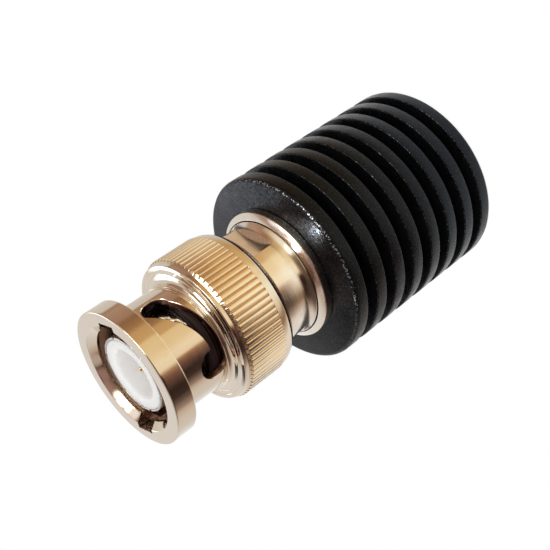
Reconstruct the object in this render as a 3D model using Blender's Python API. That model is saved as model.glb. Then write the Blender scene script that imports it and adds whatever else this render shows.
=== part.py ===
"""Coaxial dummy load: a bayonet plug screwed to a round, finned heat sink.

The load stands on the heat sink's flat rear face. Its axis is +Z, with the plug's mouth on top.
The script works in metres, and every piece is turned about the Z axis.
"""

import math

import bmesh
import bpy
from mathutils import Matrix

# Clearances
SEAT_GAP = 0.00005
PRESS_CLEARANCE = 0.00005
RUNNING_CLEARANCE = 0.0001
CUT_MARGIN = 0.001

# Heat sink
FIN_DIAMETER = 0.0200
FIN_GROOVES = 7
FIN_GAP = 0.00135
FIN_THICKNESS = 0.00135
FRONT_DISC_THICKNESS = 0.0016
FRONT_DISC_ROUND = 0.0004
REAR_FIN_THICKNESS = 0.00145
REAR_EDGE_BREAK = 0.0003
CORE_WALL = 0.00205
LOAD_CAVITY_GAP = 0.00175

# Flanged neck, screwed into the heat sink, with two wrench flats
FLANGE_WIDTH = 0.0010
FLANGE_RIM_HEIGHT = 0.0010
FLANGE_BEVEL_HEIGHT = 0.00035
FLARE_WIDTH = 0.00025
FLARE_HEIGHT = 0.0007
NECK_LENGTH = 0.0041
NECK_EDGE_BREAK = 0.0001
FLATS_DEPTH = 0.00055
FLATS_ABOVE_FLARE = 0.0002
FLATS_ANGLE = math.radians(-5.5)
BOSS_DIAMETER = 0.0090
BOSS_LENGTH = 0.0050

# Plug body, screwed into the neck
TAIL_STEP = 0.00065
TAIL_LENGTH = 0.0051
SPRING_CHANNEL = 0.00145
SHOULDER_THICKNESS = 0.0009
COLLAR_LENGTH = 0.00145

# Slotted outer contact, with the PTFE inside it and the gasket around it
SLEEVE_DIAMETER = 0.0078
SLEEVE_WALL = 0.00035
SLEEVE_SEAT_DEPTH = 0.0025
SLEEVE_SETBACK = 0.0007
SLEEVE_SLITS = 6
SLIT_WIDTH = 0.0003
SLIT_LENGTH = 0.0045
SLIT_ANGLE = math.radians(15.1)
PTFE_WALL = 0.00105
RECESS_DEPTH = 0.0053
INSULATOR_LEDGE = 0.0002
GASKET_THICKNESS = 0.0008

# Centre pin
PIN_DIAMETER = 0.00135
PIN_SETBACK = 0.00155
PIN_TIP_LENGTH = 0.0006
PIN_TIP_BEVEL = 0.000425
PIN_COLLAR_WIDTH = 0.000425
PIN_COLLAR_LENGTH = 0.0008
SOCKET_WALL = 0.00055
SOCKET_LENGTH = 0.0022
SOCKET_OVERHANG = 0.0041

# Coupling nut
RIM_WIDTH = 0.00148
RIM_LENGTH = 0.0021
RIM_ROUND = 0.00022
BARREL_WALL = 0.00057
BARREL_LENGTH = 0.0057
BARREL_FILLET = 0.00025
MOUTH_GAP = 0.00098
MOUTH_CHAMFER = 0.00065
CHAMBER_STEP = 0.00112
CHAMBER_WALL = 0.0006
COLLAR_STEP_LENGTH = 0.00045
KNURL_BEVEL_WIDTH = 0.00030
KNURL_BEVEL_LENGTH = 0.00030
KNURL_WALL = 0.00145
KNURL_LENGTH = 0.0041
KNURL_RIDGES = 76
KNURL_DEPTH = 0.0002
KNURL_GROOVE_WIDTH = 0.00028
REAR_RING_STEP = 0.0001
REAR_RING_ROUND = 0.00057

# Bayonet slots: a round entry, a channel that climbs away from the mouth, and a round end hole
BAYONET_SLOTS = 2
SLOT_FRONT_WALL = 0.00095
SLOT_REAR_WALL = 0.00056
SLOT_ENTRY_ANGLE = math.radians(-16.0)
SLOT_ENTRY_DIAMETER = 0.0027
SLOT_CREST_ANGLE = math.radians(-77.5)
SLOT_DETENT = 0.00023
SLOT_END_ANGLE = math.radians(-93.5)
SLOT_END_DIAMETER = 0.00274
KEYWAY_WIDTH = 0.0022
KEYWAY_WALL = 0.0002
POCKET_REACH = 0.0004
POCKET_FLOOR = 0.0005

# Springs, washer and retaining ring inside the nut
WAVE_WASHER_HEIGHT = 0.0012
WAVE_WASHER_THICKNESS = 0.00022
WAVES = 3
FLAT_WASHER_THICKNESS = 0.0004
SNAP_RING_SETBACK = 0.00035
SNAP_RING_THICKNESS = 0.0006
SNAP_RING_WIDTH = 0.0010
SNAP_GROOVE_DEPTH = 0.00045
SNAP_RING_OPENING = math.radians(24.0)
NUT_OVERLAP = 0.0009

# Load resistor: a film rod with two end caps, earthed in the bottom of the heat sink
ROD_DIAMETER = 0.0025
ROD_LENGTH = 0.0090
ROD_EDGE_BREAK = 0.0001
CAP_WALL = 0.00015
CAP_LENGTH = 0.0012
CAP_GAP = 0.00055
STUB_DIAMETER = 0.0010
STUB_LENGTH = 0.0017
COLLET_WALL = 0.00045
COLLET_LENGTH = 0.0024
COLLET_SLIT = math.radians(30.0)

# Facets around each turned piece
HEAT_SINK_SIDES = 44
NECK_SIDES = 48
BODY_SIDES = 32
SLEEVE_SIDES = 36
LINE_SIDES = 24
CORE_SIDES = 16
WASHER_SIDES = 32
DRILL_SIDES = 12
CHANNEL_STEPS = 8
ROUND_STEPS = 2
RING_ROUND_STEPS = 3

FULL_TURN = 2.0 * math.pi
SMOOTH_LIMIT = math.radians(35.0)
WELD = 1e-7

# Heights along the axis, from the heat sink's rear face to the mouth
HEAT_SINK_TOP = (
    FRONT_DISC_THICKNESS
    + FIN_GROOVES * FIN_GAP
    + (FIN_GROOVES - 1) * FIN_THICKNESS
    + REAR_FIN_THICKNESS
)
FLANGE_BOTTOM = HEAT_SINK_TOP + SEAT_GAP
FLANGE_RIM_TOP = FLANGE_BOTTOM + FLANGE_RIM_HEIGHT
FLARE_BOTTOM = FLANGE_RIM_TOP + FLANGE_BEVEL_HEIGHT
FLARE_TOP = FLARE_BOTTOM + FLARE_HEIGHT
NECK_TOP = FLARE_TOP + NECK_LENGTH
BOSS_BOTTOM = FLANGE_BOTTOM - BOSS_LENGTH
TAIL_TOP = NECK_TOP + SEAT_GAP
TAIL_BOTTOM = TAIL_TOP - TAIL_LENGTH
TAIL_BORE_FLOOR = TAIL_BOTTOM - SEAT_GAP
NUT_BOTTOM = NECK_TOP - NUT_OVERLAP
SNAP_RING_BOTTOM = NECK_TOP + SNAP_RING_SETBACK
SNAP_RING_TOP = SNAP_RING_BOTTOM + SNAP_RING_THICKNESS
FLAT_WASHER_BOTTOM = SNAP_RING_TOP + SEAT_GAP
FLAT_WASHER_TOP = FLAT_WASHER_BOTTOM + FLAT_WASHER_THICKNESS
REAR_WAVE_BOTTOM = FLAT_WASHER_TOP + SEAT_GAP
FRONT_WAVE_BOTTOM = REAR_WAVE_BOTTOM + WAVE_WASHER_HEIGHT + SEAT_GAP
SHOULDER_BOTTOM = FRONT_WAVE_BOTTOM + WAVE_WASHER_HEIGHT + SEAT_GAP
SHOULDER_TOP = SHOULDER_BOTTOM + SHOULDER_THICKNESS
COLLAR_TOP = SHOULDER_TOP + COLLAR_LENGTH
GASKET_BOTTOM = COLLAR_TOP + SEAT_GAP
GASKET_TOP = GASKET_BOTTOM + GASKET_THICKNESS
CHAMBER_TOP = SHOULDER_TOP + SEAT_GAP
COLLAR_STEP_TOP = CHAMBER_TOP + CHAMBER_WALL
COLLAR_STEP_BOTTOM = COLLAR_STEP_TOP - COLLAR_STEP_LENGTH
KNURL_TOP = COLLAR_STEP_BOTTOM - KNURL_BEVEL_LENGTH
KNURL_BOTTOM = KNURL_TOP - KNURL_LENGTH
BARREL_TOP = COLLAR_STEP_TOP + BARREL_LENGTH
MOUTH = BARREL_TOP + RIM_LENGTH

# Heights of the line inside the plug, the neck and the heat sink
SEAT_FLOOR = COLLAR_TOP - SLEEVE_SEAT_DEPTH
SLEEVE_TOP = MOUTH - SLEEVE_SETBACK
PIN_TIP = MOUTH - PIN_SETBACK
SOCKET_BOTTOM = TAIL_BOTTOM - SOCKET_OVERHANG
CAP_TOP = SOCKET_BOTTOM - SEAT_GAP
ROD_TOP = CAP_TOP - CAP_WALL - SEAT_GAP
ROD_BOTTOM = ROD_TOP - ROD_LENGTH
ROD_MIDDLE = (ROD_TOP + ROD_BOTTOM) / 2
CAP_BOTTOM = ROD_BOTTOM - SEAT_GAP - CAP_WALL
COLLET_TOP = CAP_BOTTOM - SEAT_GAP
COLLET_FLOOR = COLLET_TOP - COLLET_LENGTH - SEAT_GAP

# Depths of the bayonet slots from the mouth
SLOT_ENTRY_DEPTH = RIM_LENGTH + SLOT_FRONT_WALL + SLOT_ENTRY_DIAMETER / 2
SLOT_END_DEPTH = RIM_LENGTH + BARREL_LENGTH - SLOT_REAR_WALL - SLOT_END_DIAMETER / 2
SLOT_CREST_DEPTH = SLOT_END_DEPTH + SLOT_DETENT
KEYWAY_DEPTH = SLOT_ENTRY_DEPTH + KEYWAY_WIDTH / 2
POCKET_DEPTH = RIM_LENGTH - POCKET_FLOOR

# Radii of the nut, from the sleeve outwards
MOUTH_BORE_RADIUS = SLEEVE_DIAMETER / 2 + MOUTH_GAP
BARREL_RADIUS = MOUTH_BORE_RADIUS + BARREL_WALL
KEYWAY_RADIUS = BARREL_RADIUS - KEYWAY_WALL
POCKET_RADIUS = BARREL_RADIUS + POCKET_REACH
RIM_RADIUS = BARREL_RADIUS + RIM_WIDTH
CHAMBER_RADIUS = MOUTH_BORE_RADIUS + CHAMBER_STEP
KNURL_RADIUS = CHAMBER_RADIUS + KNURL_WALL
COLLAR_STEP_RADIUS = KNURL_RADIUS - KNURL_BEVEL_WIDTH
REAR_RING_RADIUS = KNURL_RADIUS - REAR_RING_STEP
SNAP_GROOVE_RADIUS = CHAMBER_RADIUS + SNAP_GROOVE_DEPTH

# Radii of the plug body, the neck and what they hold
SHOULDER_RADIUS = CHAMBER_RADIUS - RUNNING_CLEARANCE
COLLAR_RADIUS = MOUTH_BORE_RADIUS - RUNNING_CLEARANCE
SPIGOT_RADIUS = CHAMBER_RADIUS - SPRING_CHANNEL
WASHER_BORE_RADIUS = SPIGOT_RADIUS + RUNNING_CLEARANCE
TAIL_RADIUS = SPIGOT_RADIUS - TAIL_STEP
NECK_RADIUS = CHAMBER_RADIUS - RUNNING_CLEARANCE
FLARE_RADIUS = NECK_RADIUS + FLARE_WIDTH
FLANGE_RADIUS = NECK_RADIUS + FLANGE_WIDTH
INSULATOR_RADIUS = SLEEVE_DIAMETER / 2 - SLEEVE_WALL - PRESS_CLEARANCE
PIN_BORE_RADIUS = PIN_DIAMETER / 2 + PRESS_CLEARANCE
PIN_COLLAR_RADIUS = PIN_DIAMETER / 2 + PIN_COLLAR_WIDTH

# Radii of the load and of the bores around it
CAP_BORE_RADIUS = ROD_DIAMETER / 2 + PRESS_CLEARANCE
CAP_RADIUS = CAP_BORE_RADIUS + CAP_WALL
NECK_LINE_RADIUS = CAP_RADIUS + CAP_GAP
LINE_BORE_RADIUS = NECK_LINE_RADIUS + INSULATOR_LEDGE
STUB_BORE_RADIUS = STUB_DIAMETER / 2 + PRESS_CLEARANCE
SOCKET_RADIUS = STUB_BORE_RADIUS + SOCKET_WALL
COLLET_RADIUS = STUB_BORE_RADIUS + COLLET_WALL
BOSS_BORE_RADIUS = BOSS_DIAMETER / 2 + PRESS_CLEARANCE
FIN_ROOT_RADIUS = BOSS_BORE_RADIUS + CORE_WALL
LOAD_CAVITY_RADIUS = CAP_RADIUS + LOAD_CAVITY_GAP

# Finishes: colour, roughness and metallic value
NICKEL = ((0.62, 0.58, 0.52), 0.22, 1.0)
BLACK_ANODISED = ((0.018, 0.018, 0.020), 0.38, 0.3)
GOLD = ((0.90, 0.66, 0.30), 0.20, 1.0)
PTFE = ((0.86, 0.86, 0.88), 0.45, 0.0)
SILICONE = ((0.42, 0.09, 0.06), 0.60, 0.0)
SPRING_STEEL = ((0.48, 0.46, 0.43), 0.30, 1.0)
RESISTOR_FILM = ((0.09, 0.07, 0.06), 0.55, 0.0)
TINNED = ((0.70, 0.70, 0.70), 0.35, 1.0)


def clear_scene():
    """Remove whatever the scene holds before the model is made."""
    for item in list(bpy.data.objects):
        bpy.data.objects.remove(item, do_unlink=True)


def arc(radius, height, reach, first, last, steps):
    """Points of a round on an outline, about (radius, height), between two angles in degrees."""
    points = []
    for step in range(steps + 1):
        angle = math.radians(first + (last - first) * step / steps)
        points.append((radius + reach * math.cos(angle), height + reach * math.sin(angle)))
    return points


def turned(outline, sides, sweep=FULL_TURN):
    """Turn an outline of (radius, height) points about the axis, all the way or part of it.

    An outline that starts and ends on the axis makes a solid, and any other one a ring.
    """
    shape = bmesh.new()
    corners = [shape.verts.new((radius, 0.0, height)) for radius, height in outline]
    pairs = list(zip(corners, corners[1:]))
    if outline[0][0] > 0.0:
        pairs.append((corners[-1], corners[0]))
    section = corners + [shape.edges.new(pair) for pair in pairs]
    whole = sweep == FULL_TURN
    if not whole:
        section.append(shape.faces.new(corners))
    bmesh.ops.spin(
        shape,
        geom=section,
        cent=(0.0, 0.0, 0.0),
        axis=(0.0, 0.0, 1.0),
        angle=sweep,
        steps=sides,
        use_merge=whole,
    )
    bmesh.ops.remove_doubles(shape, verts=shape.verts, dist=WELD)
    bmesh.ops.recalc_face_normals(shape, faces=shape.faces)
    return shape


def ring(inner, outer, bottom, top):
    """Outline of a plain ring or tube."""
    return [(inner, bottom), (outer, bottom), (outer, top), (inner, top)]


def finish(name, colour, roughness, metallic):
    """One Principled material for one sub-part."""
    material = bpy.data.materials.new(name)
    material.use_nodes = True
    shader = material.node_tree.nodes["Principled BSDF"]
    shader.inputs["Base Color"].default_value = (*colour, 1.0)
    shader.inputs["Roughness"].default_value = roughness
    shader.inputs["Metallic"].default_value = metallic
    material.diffuse_color = (*colour, 1.0)
    return material


def shaded(name, shape):
    """Make an object of a shape, smooth on its rounds and sharp on its edges."""
    mesh = bpy.data.meshes.new(name)
    shape.to_mesh(mesh)
    shape.free()
    mesh.shade_smooth()
    mesh.set_sharp_from_angle(angle=SMOOTH_LIMIT)
    item = bpy.data.objects.new(name, mesh)
    bpy.context.scene.collection.objects.link(item)
    return item


def part(name, shape, look):
    """Add a sub-part with a material of its own."""
    item = shaded(name, shape)
    item.data.materials.append(finish(name, *look))
    return item


def cut(item, name, shape):
    """Cut a shape out of a sub-part with a Boolean whose cutter isn't rendered."""
    cutter = shaded(name, shape)
    cutter.hide_render = True
    cutter.display_type = "WIRE"
    modifier = item.modifiers.new(name, "BOOLEAN")
    modifier.operation = "DIFFERENCE"
    modifier.solver = "EXACT"
    modifier.object = cutter


def repeat_around(shape, count):
    """Repeat a shape round the axis, so that it stands there count times."""
    first = shape.verts[:] + shape.edges[:] + shape.faces[:]
    for index in range(1, count):
        copy = bmesh.ops.duplicate(shape, geom=first)["geom"]
        corners = [item for item in copy if isinstance(item, bmesh.types.BMVert)]
        turn = Matrix.Rotation(FULL_TURN * index / count, 3, "Z")
        bmesh.ops.rotate(shape, verts=corners, cent=(0.0, 0.0, 0.0), matrix=turn)
    return shape


def swung(shape, angle):
    """Turn a shape round the axis by an angle."""
    turn = Matrix.Rotation(angle, 3, "Z")
    bmesh.ops.rotate(shape, verts=shape.verts, cent=(0.0, 0.0, 0.0), matrix=turn)
    return shape


def prism(outline, place):
    """Prism between two copies of an outline; place puts a point of it on side 0 or side 1."""
    shape = bmesh.new()
    sides = [[shape.verts.new(place(point, side)) for point in outline] for side in (0, 1)]
    shape.faces.new(sides[0])
    shape.faces.new(reversed(sides[1]))
    for index in range(len(outline)):
        near = (sides[0][index - 1], sides[0][index])
        far = (sides[1][index], sides[1][index - 1])
        shape.faces.new(near + far)
    bmesh.ops.recalc_face_normals(shape, faces=shape.faces)
    return shape


def make_heat_sink():
    """Turned aluminium body: a front disc, square grooves, and a stepped bore for the load."""
    outer = FIN_DIAMETER / 2
    root = FIN_ROOT_RADIUS
    boss_floor = BOSS_BOTTOM - SEAT_GAP
    collet_bore = COLLET_RADIUS + PRESS_CLEARANCE
    outline = [(0.0, COLLET_FLOOR), (collet_bore, COLLET_FLOOR), (collet_bore, COLLET_TOP)]
    outline += [(LOAD_CAVITY_RADIUS, COLLET_TOP), (LOAD_CAVITY_RADIUS, boss_floor)]
    outline += [(BOSS_BORE_RADIUS, boss_floor), (BOSS_BORE_RADIUS, HEAT_SINK_TOP)]
    edge = FRONT_DISC_ROUND
    outline += arc(outer - edge, HEAT_SINK_TOP - edge, edge, 90, 0, ROUND_STEPS)
    height = HEAT_SINK_TOP - FRONT_DISC_THICKNESS
    for _ in range(FIN_GROOVES):
        floor = height - FIN_GAP
        outline += [(outer, height), (root, height), (root, floor), (outer, floor)]
        height = floor - FIN_THICKNESS
    outline += [(outer, REAR_EDGE_BREAK), (outer - REAR_EDGE_BREAK, 0.0), (0.0, 0.0)]
    part("heat_sink", turned(outline, HEAT_SINK_SIDES), BLACK_ANODISED)


def flat_cutter():
    """Block that mills one wrench flat on the neck."""
    far = FLANGE_RADIUS
    floor = FLARE_TOP + FLATS_ABOVE_FLARE
    outline = ring(NECK_RADIUS - FLATS_DEPTH, far, floor, NECK_TOP + CUT_MARGIN)

    def place(point, side):
        return (point[0], far * (2 * side - 1), point[1])

    return swung(prism(outline, place), FLATS_ANGLE)


def make_flange_neck():
    """Neck with a flared flange, two wrench flats and a boss that screws into the heat sink."""
    neck = NECK_RADIUS
    boss = BOSS_DIAMETER / 2
    line = NECK_LINE_RADIUS
    tail_bore = TAIL_RADIUS + PRESS_CLEARANCE
    outline = [(line, BOSS_BOTTOM), (boss, BOSS_BOTTOM), (boss, FLANGE_BOTTOM)]
    outline += [(FLANGE_RADIUS, FLANGE_BOTTOM), (FLANGE_RADIUS, FLANGE_RIM_TOP)]
    outline += [(FLARE_RADIUS, FLARE_BOTTOM), (neck, FLARE_TOP)]
    outline += [(neck, NECK_TOP - NECK_EDGE_BREAK), (neck - NECK_EDGE_BREAK, NECK_TOP)]
    outline += [(tail_bore, NECK_TOP), (tail_bore, TAIL_BORE_FLOOR), (line, TAIL_BORE_FLOOR)]
    item = part("flange_neck", turned(outline, NECK_SIDES), NICKEL)
    cut(item, "flats_cutter", repeat_around(flat_cutter(), 2))


def make_plug_body():
    """Body of the plug: threaded tail, spigot, spring shoulder, and the sleeve's seat."""
    line = LINE_BORE_RADIUS
    tail = TAIL_RADIUS
    seat = SLEEVE_DIAMETER / 2 + PRESS_CLEARANCE
    outline = [(line, TAIL_BOTTOM), (tail, TAIL_BOTTOM), (tail, TAIL_TOP), (SPIGOT_RADIUS, TAIL_TOP)]
    outline += [(SPIGOT_RADIUS, SHOULDER_BOTTOM), (SHOULDER_RADIUS, SHOULDER_BOTTOM)]
    outline += [(SHOULDER_RADIUS, SHOULDER_TOP), (COLLAR_RADIUS, SHOULDER_TOP)]
    outline += [(COLLAR_RADIUS, COLLAR_TOP), (seat, COLLAR_TOP), (seat, SEAT_FLOOR), (line, SEAT_FLOOR)]
    part("plug_body", turned(outline, BODY_SIDES), NICKEL)


def slit_cutter():
    """Saw cut that frees one finger of the sleeve from its neighbour."""
    inner = SLEEVE_DIAMETER / 2 - 2 * SLEEVE_WALL
    outer = SLEEVE_DIAMETER / 2 + SLEEVE_WALL
    outline = ring(inner, outer, SLEEVE_TOP - SLIT_LENGTH, MOUTH)

    def place(point, side):
        return (point[0], SLIT_WIDTH * (side - 0.5), point[1])

    return swung(prism(outline, place), SLIT_ANGLE)


def make_finger_sleeve():
    """Outer contact: a thin tube whose front is slit into spring fingers."""
    outer = SLEEVE_DIAMETER / 2
    outline = ring(outer - SLEEVE_WALL, outer, SEAT_FLOOR + SEAT_GAP, SLEEVE_TOP)
    item = part("finger_sleeve", turned(outline, SLEEVE_SIDES), NICKEL)
    cut(item, "slit_cutter", repeat_around(slit_cutter(), SLEEVE_SLITS))


def make_front_insulator():
    """PTFE that fills the sleeve and stands round the pin as a cup."""
    recess = INSULATOR_RADIUS - PTFE_WALL
    floor = SLEEVE_TOP - RECESS_DEPTH
    bottom = SEAT_FLOOR + SEAT_GAP
    outline = [(PIN_BORE_RADIUS, bottom), (INSULATOR_RADIUS, bottom), (INSULATOR_RADIUS, SLEEVE_TOP)]
    outline += [(recess, SLEEVE_TOP), (recess, floor), (PIN_BORE_RADIUS, floor)]
    part("front_insulator", turned(outline, LINE_SIDES), PTFE)


def make_rear_insulator():
    """PTFE tube in the plug body, with a counterbore that holds the pin's collar."""
    outer = LINE_BORE_RADIUS - PRESS_CLEARANCE
    collar_bore = PIN_COLLAR_RADIUS + PRESS_CLEARANCE
    collar_floor = SEAT_FLOOR - PIN_COLLAR_LENGTH - SEAT_GAP
    outline = [(PIN_BORE_RADIUS, TAIL_BOTTOM), (outer, TAIL_BOTTOM), (outer, SEAT_FLOOR)]
    outline += [(collar_bore, SEAT_FLOOR), (collar_bore, collar_floor), (PIN_BORE_RADIUS, collar_floor)]
    part("rear_insulator", turned(outline, LINE_SIDES), PTFE)


def make_centre_pin():
    """Pin with a rounded tip, a collar that keeps it in place, and a socket for the resistor."""
    pin = PIN_DIAMETER / 2
    collar = PIN_COLLAR_RADIUS
    collar_bottom = SEAT_FLOOR - PIN_COLLAR_LENGTH
    socket = SOCKET_RADIUS
    socket_top = SOCKET_BOTTOM + SOCKET_LENGTH
    bore = STUB_BORE_RADIUS
    bore_floor = CAP_TOP + STUB_LENGTH + SEAT_GAP
    outline = [(0.0, PIN_TIP), (pin - PIN_TIP_BEVEL, PIN_TIP), (pin, PIN_TIP - PIN_TIP_LENGTH)]
    outline += [(pin, SEAT_FLOOR), (collar, SEAT_FLOOR), (collar, collar_bottom), (pin, collar_bottom)]
    outline += [(pin, socket_top), (socket, socket_top), (socket, SOCKET_BOTTOM)]
    outline += [(bore, SOCKET_BOTTOM), (bore, bore_floor), (0.0, bore_floor)]
    part("centre_pin", turned(outline, CORE_SIDES), GOLD)


def make_face_gasket():
    """Silicone ring that the mating connector presses on."""
    inner = SLEEVE_DIAMETER / 2 + PRESS_CLEARANCE
    outline = ring(inner, COLLAR_RADIUS, GASKET_BOTTOM, GASKET_TOP)
    part("face_gasket", turned(outline, WASHER_SIDES), SILICONE)


def knurl_cutter():
    """V grooves of the straight knurl, one in the middle of each of the nut's facets."""
    bottom = KNURL_RADIUS - KNURL_DEPTH
    slope = KNURL_GROOVE_WIDTH / 2 / KNURL_DEPTH
    reach = KNURL_DEPTH + RUNNING_CLEARANCE
    outline = [(bottom, 0.0), (bottom + reach, slope * reach), (bottom + reach, -slope * reach)]
    heights = (KNURL_BOTTOM - REAR_RING_STEP - SEAT_GAP, COLLAR_STEP_TOP)

    def place(point, side):
        return (point[0], point[1], heights[side])

    groove = swung(prism(outline, place), FULL_TURN / KNURL_RIDGES / 2)
    return repeat_around(groove, KNURL_RIDGES)


def slot_edges(angle):
    """Depths of the channel's front and rear edge at an angle between the entry and the crest."""
    share = (SLOT_CREST_ANGLE - angle) / (SLOT_CREST_ANGLE - SLOT_ENTRY_ANGLE)
    front_start = SLOT_ENTRY_DEPTH - SLOT_ENTRY_DIAMETER / 2
    rear_start = SLOT_ENTRY_DEPTH + SLOT_ENTRY_DIAMETER / 2
    rear_end = SLOT_END_DEPTH + SLOT_END_DIAMETER / 2
    front = SLOT_CREST_DEPTH - (SLOT_CREST_DEPTH - front_start) * share ** 2
    rear = rear_end - (rear_end - rear_start) * share ** 2
    return front, rear


def slot_outline():
    """Outline of one bayonet slot, rolled out flat: (length along the barrel, depth from the mouth)."""
    radius = BARREL_RADIUS
    entry = SLOT_ENTRY_ANGLE * radius
    end = SLOT_END_ANGLE * radius
    outline = arc(entry, SLOT_ENTRY_DEPTH, SLOT_ENTRY_DIAMETER / 2, 90, -90, DRILL_SIDES // 2)
    sweep = SLOT_CREST_ANGLE - SLOT_ENTRY_ANGLE
    angles = [SLOT_ENTRY_ANGLE + sweep * (step + 1) / CHANNEL_STEPS for step in range(CHANNEL_STEPS)]
    outline += [(angle * radius, slot_edges(angle)[0]) for angle in angles]
    outline += arc(end, SLOT_END_DEPTH, SLOT_END_DIAMETER / 2, 0, -270, 3 * DRILL_SIDES // 4)
    outline += [(angle * radius, slot_edges(angle)[1]) for angle in reversed(angles)]
    return outline


def slot_cutter():
    """Curved block in the form of one bayonet slot, as deep as the barrel's wall."""
    shape = bmesh.new()
    radius = BARREL_RADIUS
    floor = shape.faces.new([shape.verts.new((x, depth, 0.0)) for x, depth in slot_outline()])
    turn = (SLOT_END_ANGLE - SLOT_ENTRY_ANGLE) * radius
    for step in range(2 * CHANNEL_STEPS):
        along = SLOT_ENTRY_ANGLE * radius + turn * (step + 0.5) / (2 * CHANNEL_STEPS)
        everything = shape.verts[:] + shape.edges[:] + shape.faces[:]
        bmesh.ops.bisect_plane(
            shape, geom=everything, dist=WELD, plane_co=(along, 0.0, 0.0), plane_no=(1.0, 0.0, 0.0)
        )
    raised = bmesh.ops.extrude_face_region(shape, geom=shape.faces[:])["geom"]
    outer = {item for item in raised if isinstance(item, bmesh.types.BMVert)}
    for corner in shape.verts:
        angle = corner.co.x / radius
        reach = radius + CUT_MARGIN if corner in outer else MOUTH_BORE_RADIUS - CUT_MARGIN
        corner.co = (reach * math.cos(angle), reach * math.sin(angle), MOUTH - corner.co.y)
    bmesh.ops.recalc_face_normals(shape, faces=shape.faces)
    return repeat_around(shape, BAYONET_SLOTS)


def keyway_cutter():
    """Axial groove inside the barrel that leads a stud to the slot, wider at the rim."""
    inner = MOUTH_BORE_RADIUS - CUT_MARGIN
    top = MOUTH + CUT_MARGIN
    outline = [(inner, top), (inner, MOUTH - KEYWAY_DEPTH), (KEYWAY_RADIUS, MOUTH - KEYWAY_DEPTH)]
    outline += [(KEYWAY_RADIUS, MOUTH - POCKET_DEPTH), (POCKET_RADIUS, MOUTH - POCKET_DEPTH)]
    outline += [(POCKET_RADIUS, top)]

    def place(point, side):
        return (point[0], KEYWAY_WIDTH * (side - 0.5), point[1])

    return repeat_around(prism(outline, place), BAYONET_SLOTS)


def make_coupling_nut():
    """Bayonet coupling nut: rim, slotted barrel, knurled collar, and the spring chamber behind."""
    rim = RIM_RADIUS
    barrel = BARREL_RADIUS
    step = COLLAR_STEP_RADIUS
    knurl = KNURL_RADIUS
    chamber = CHAMBER_RADIUS
    bore = MOUTH_BORE_RADIUS
    outline = [(bore, MOUTH - MOUTH_CHAMFER), (bore + MOUTH_CHAMFER, MOUTH)]
    outline += arc(rim - RIM_ROUND, MOUTH - RIM_ROUND, RIM_ROUND, 90, 0, ROUND_STEPS)
    outline += [(rim, BARREL_TOP), (barrel, BARREL_TOP), (barrel, COLLAR_STEP_TOP + BARREL_FILLET)]
    outline += [(barrel + BARREL_FILLET, COLLAR_STEP_TOP), (step, COLLAR_STEP_TOP)]
    outline += [(step, COLLAR_STEP_BOTTOM), (knurl, KNURL_TOP), (knurl, KNURL_BOTTOM)]
    ring_top = KNURL_BOTTOM - REAR_RING_STEP
    for index in range(RING_ROUND_STEPS + 1):
        share = index / RING_ROUND_STEPS
        height = ring_top + (NUT_BOTTOM - ring_top) * share
        outline.append((REAR_RING_RADIUS - REAR_RING_ROUND * share ** 2, height))
    outline += [(chamber, NUT_BOTTOM), (chamber, SNAP_RING_BOTTOM - SEAT_GAP)]
    outline += [(SNAP_GROOVE_RADIUS, SNAP_RING_BOTTOM - SEAT_GAP)]
    outline += [(SNAP_GROOVE_RADIUS, SNAP_RING_TOP + SEAT_GAP), (chamber, SNAP_RING_TOP + SEAT_GAP)]
    outline += [(chamber, CHAMBER_TOP), (bore, CHAMBER_TOP)]
    item = part("coupling_nut", turned(outline, KNURL_RIDGES), NICKEL)
    cut(item, "knurl_cutter", knurl_cutter())
    cut(item, "slot_cutter", slot_cutter())
    cut(item, "keyway_cutter", keyway_cutter())


def make_snap_ring():
    """Open ring that snaps into the nut's groove and keeps the nut on the plug body."""
    outer = SNAP_GROOVE_RADIUS - RUNNING_CLEARANCE
    outline = ring(outer - SNAP_RING_WIDTH, outer, SNAP_RING_BOTTOM, SNAP_RING_TOP)
    part("snap_ring", turned(outline, WASHER_SIDES, FULL_TURN - SNAP_RING_OPENING), SPRING_STEEL)


def make_flat_washer():
    """Washer between the snap ring and the wave washers, on which the nut turns."""
    outline = ring(WASHER_BORE_RADIUS, SHOULDER_RADIUS, FLAT_WASHER_BOTTOM, FLAT_WASHER_TOP)
    part("flat_washer", turned(outline, WASHER_SIDES), SPRING_STEEL)


def make_wave_washer(name, bottom):
    """Spring washer with an even wave round its ring."""
    outline = ring(WASHER_BORE_RADIUS, SHOULDER_RADIUS, bottom, bottom + WAVE_WASHER_THICKNESS)
    shape = turned(outline, WASHER_SIDES)
    rise = (WAVE_WASHER_HEIGHT - WAVE_WASHER_THICKNESS) / 2
    for corner in shape.verts:
        angle = math.atan2(corner.co.y, corner.co.x)
        corner.co.z += rise * (1.0 - math.cos(WAVES * angle))
    part(name, shape, SPRING_STEEL)


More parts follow.
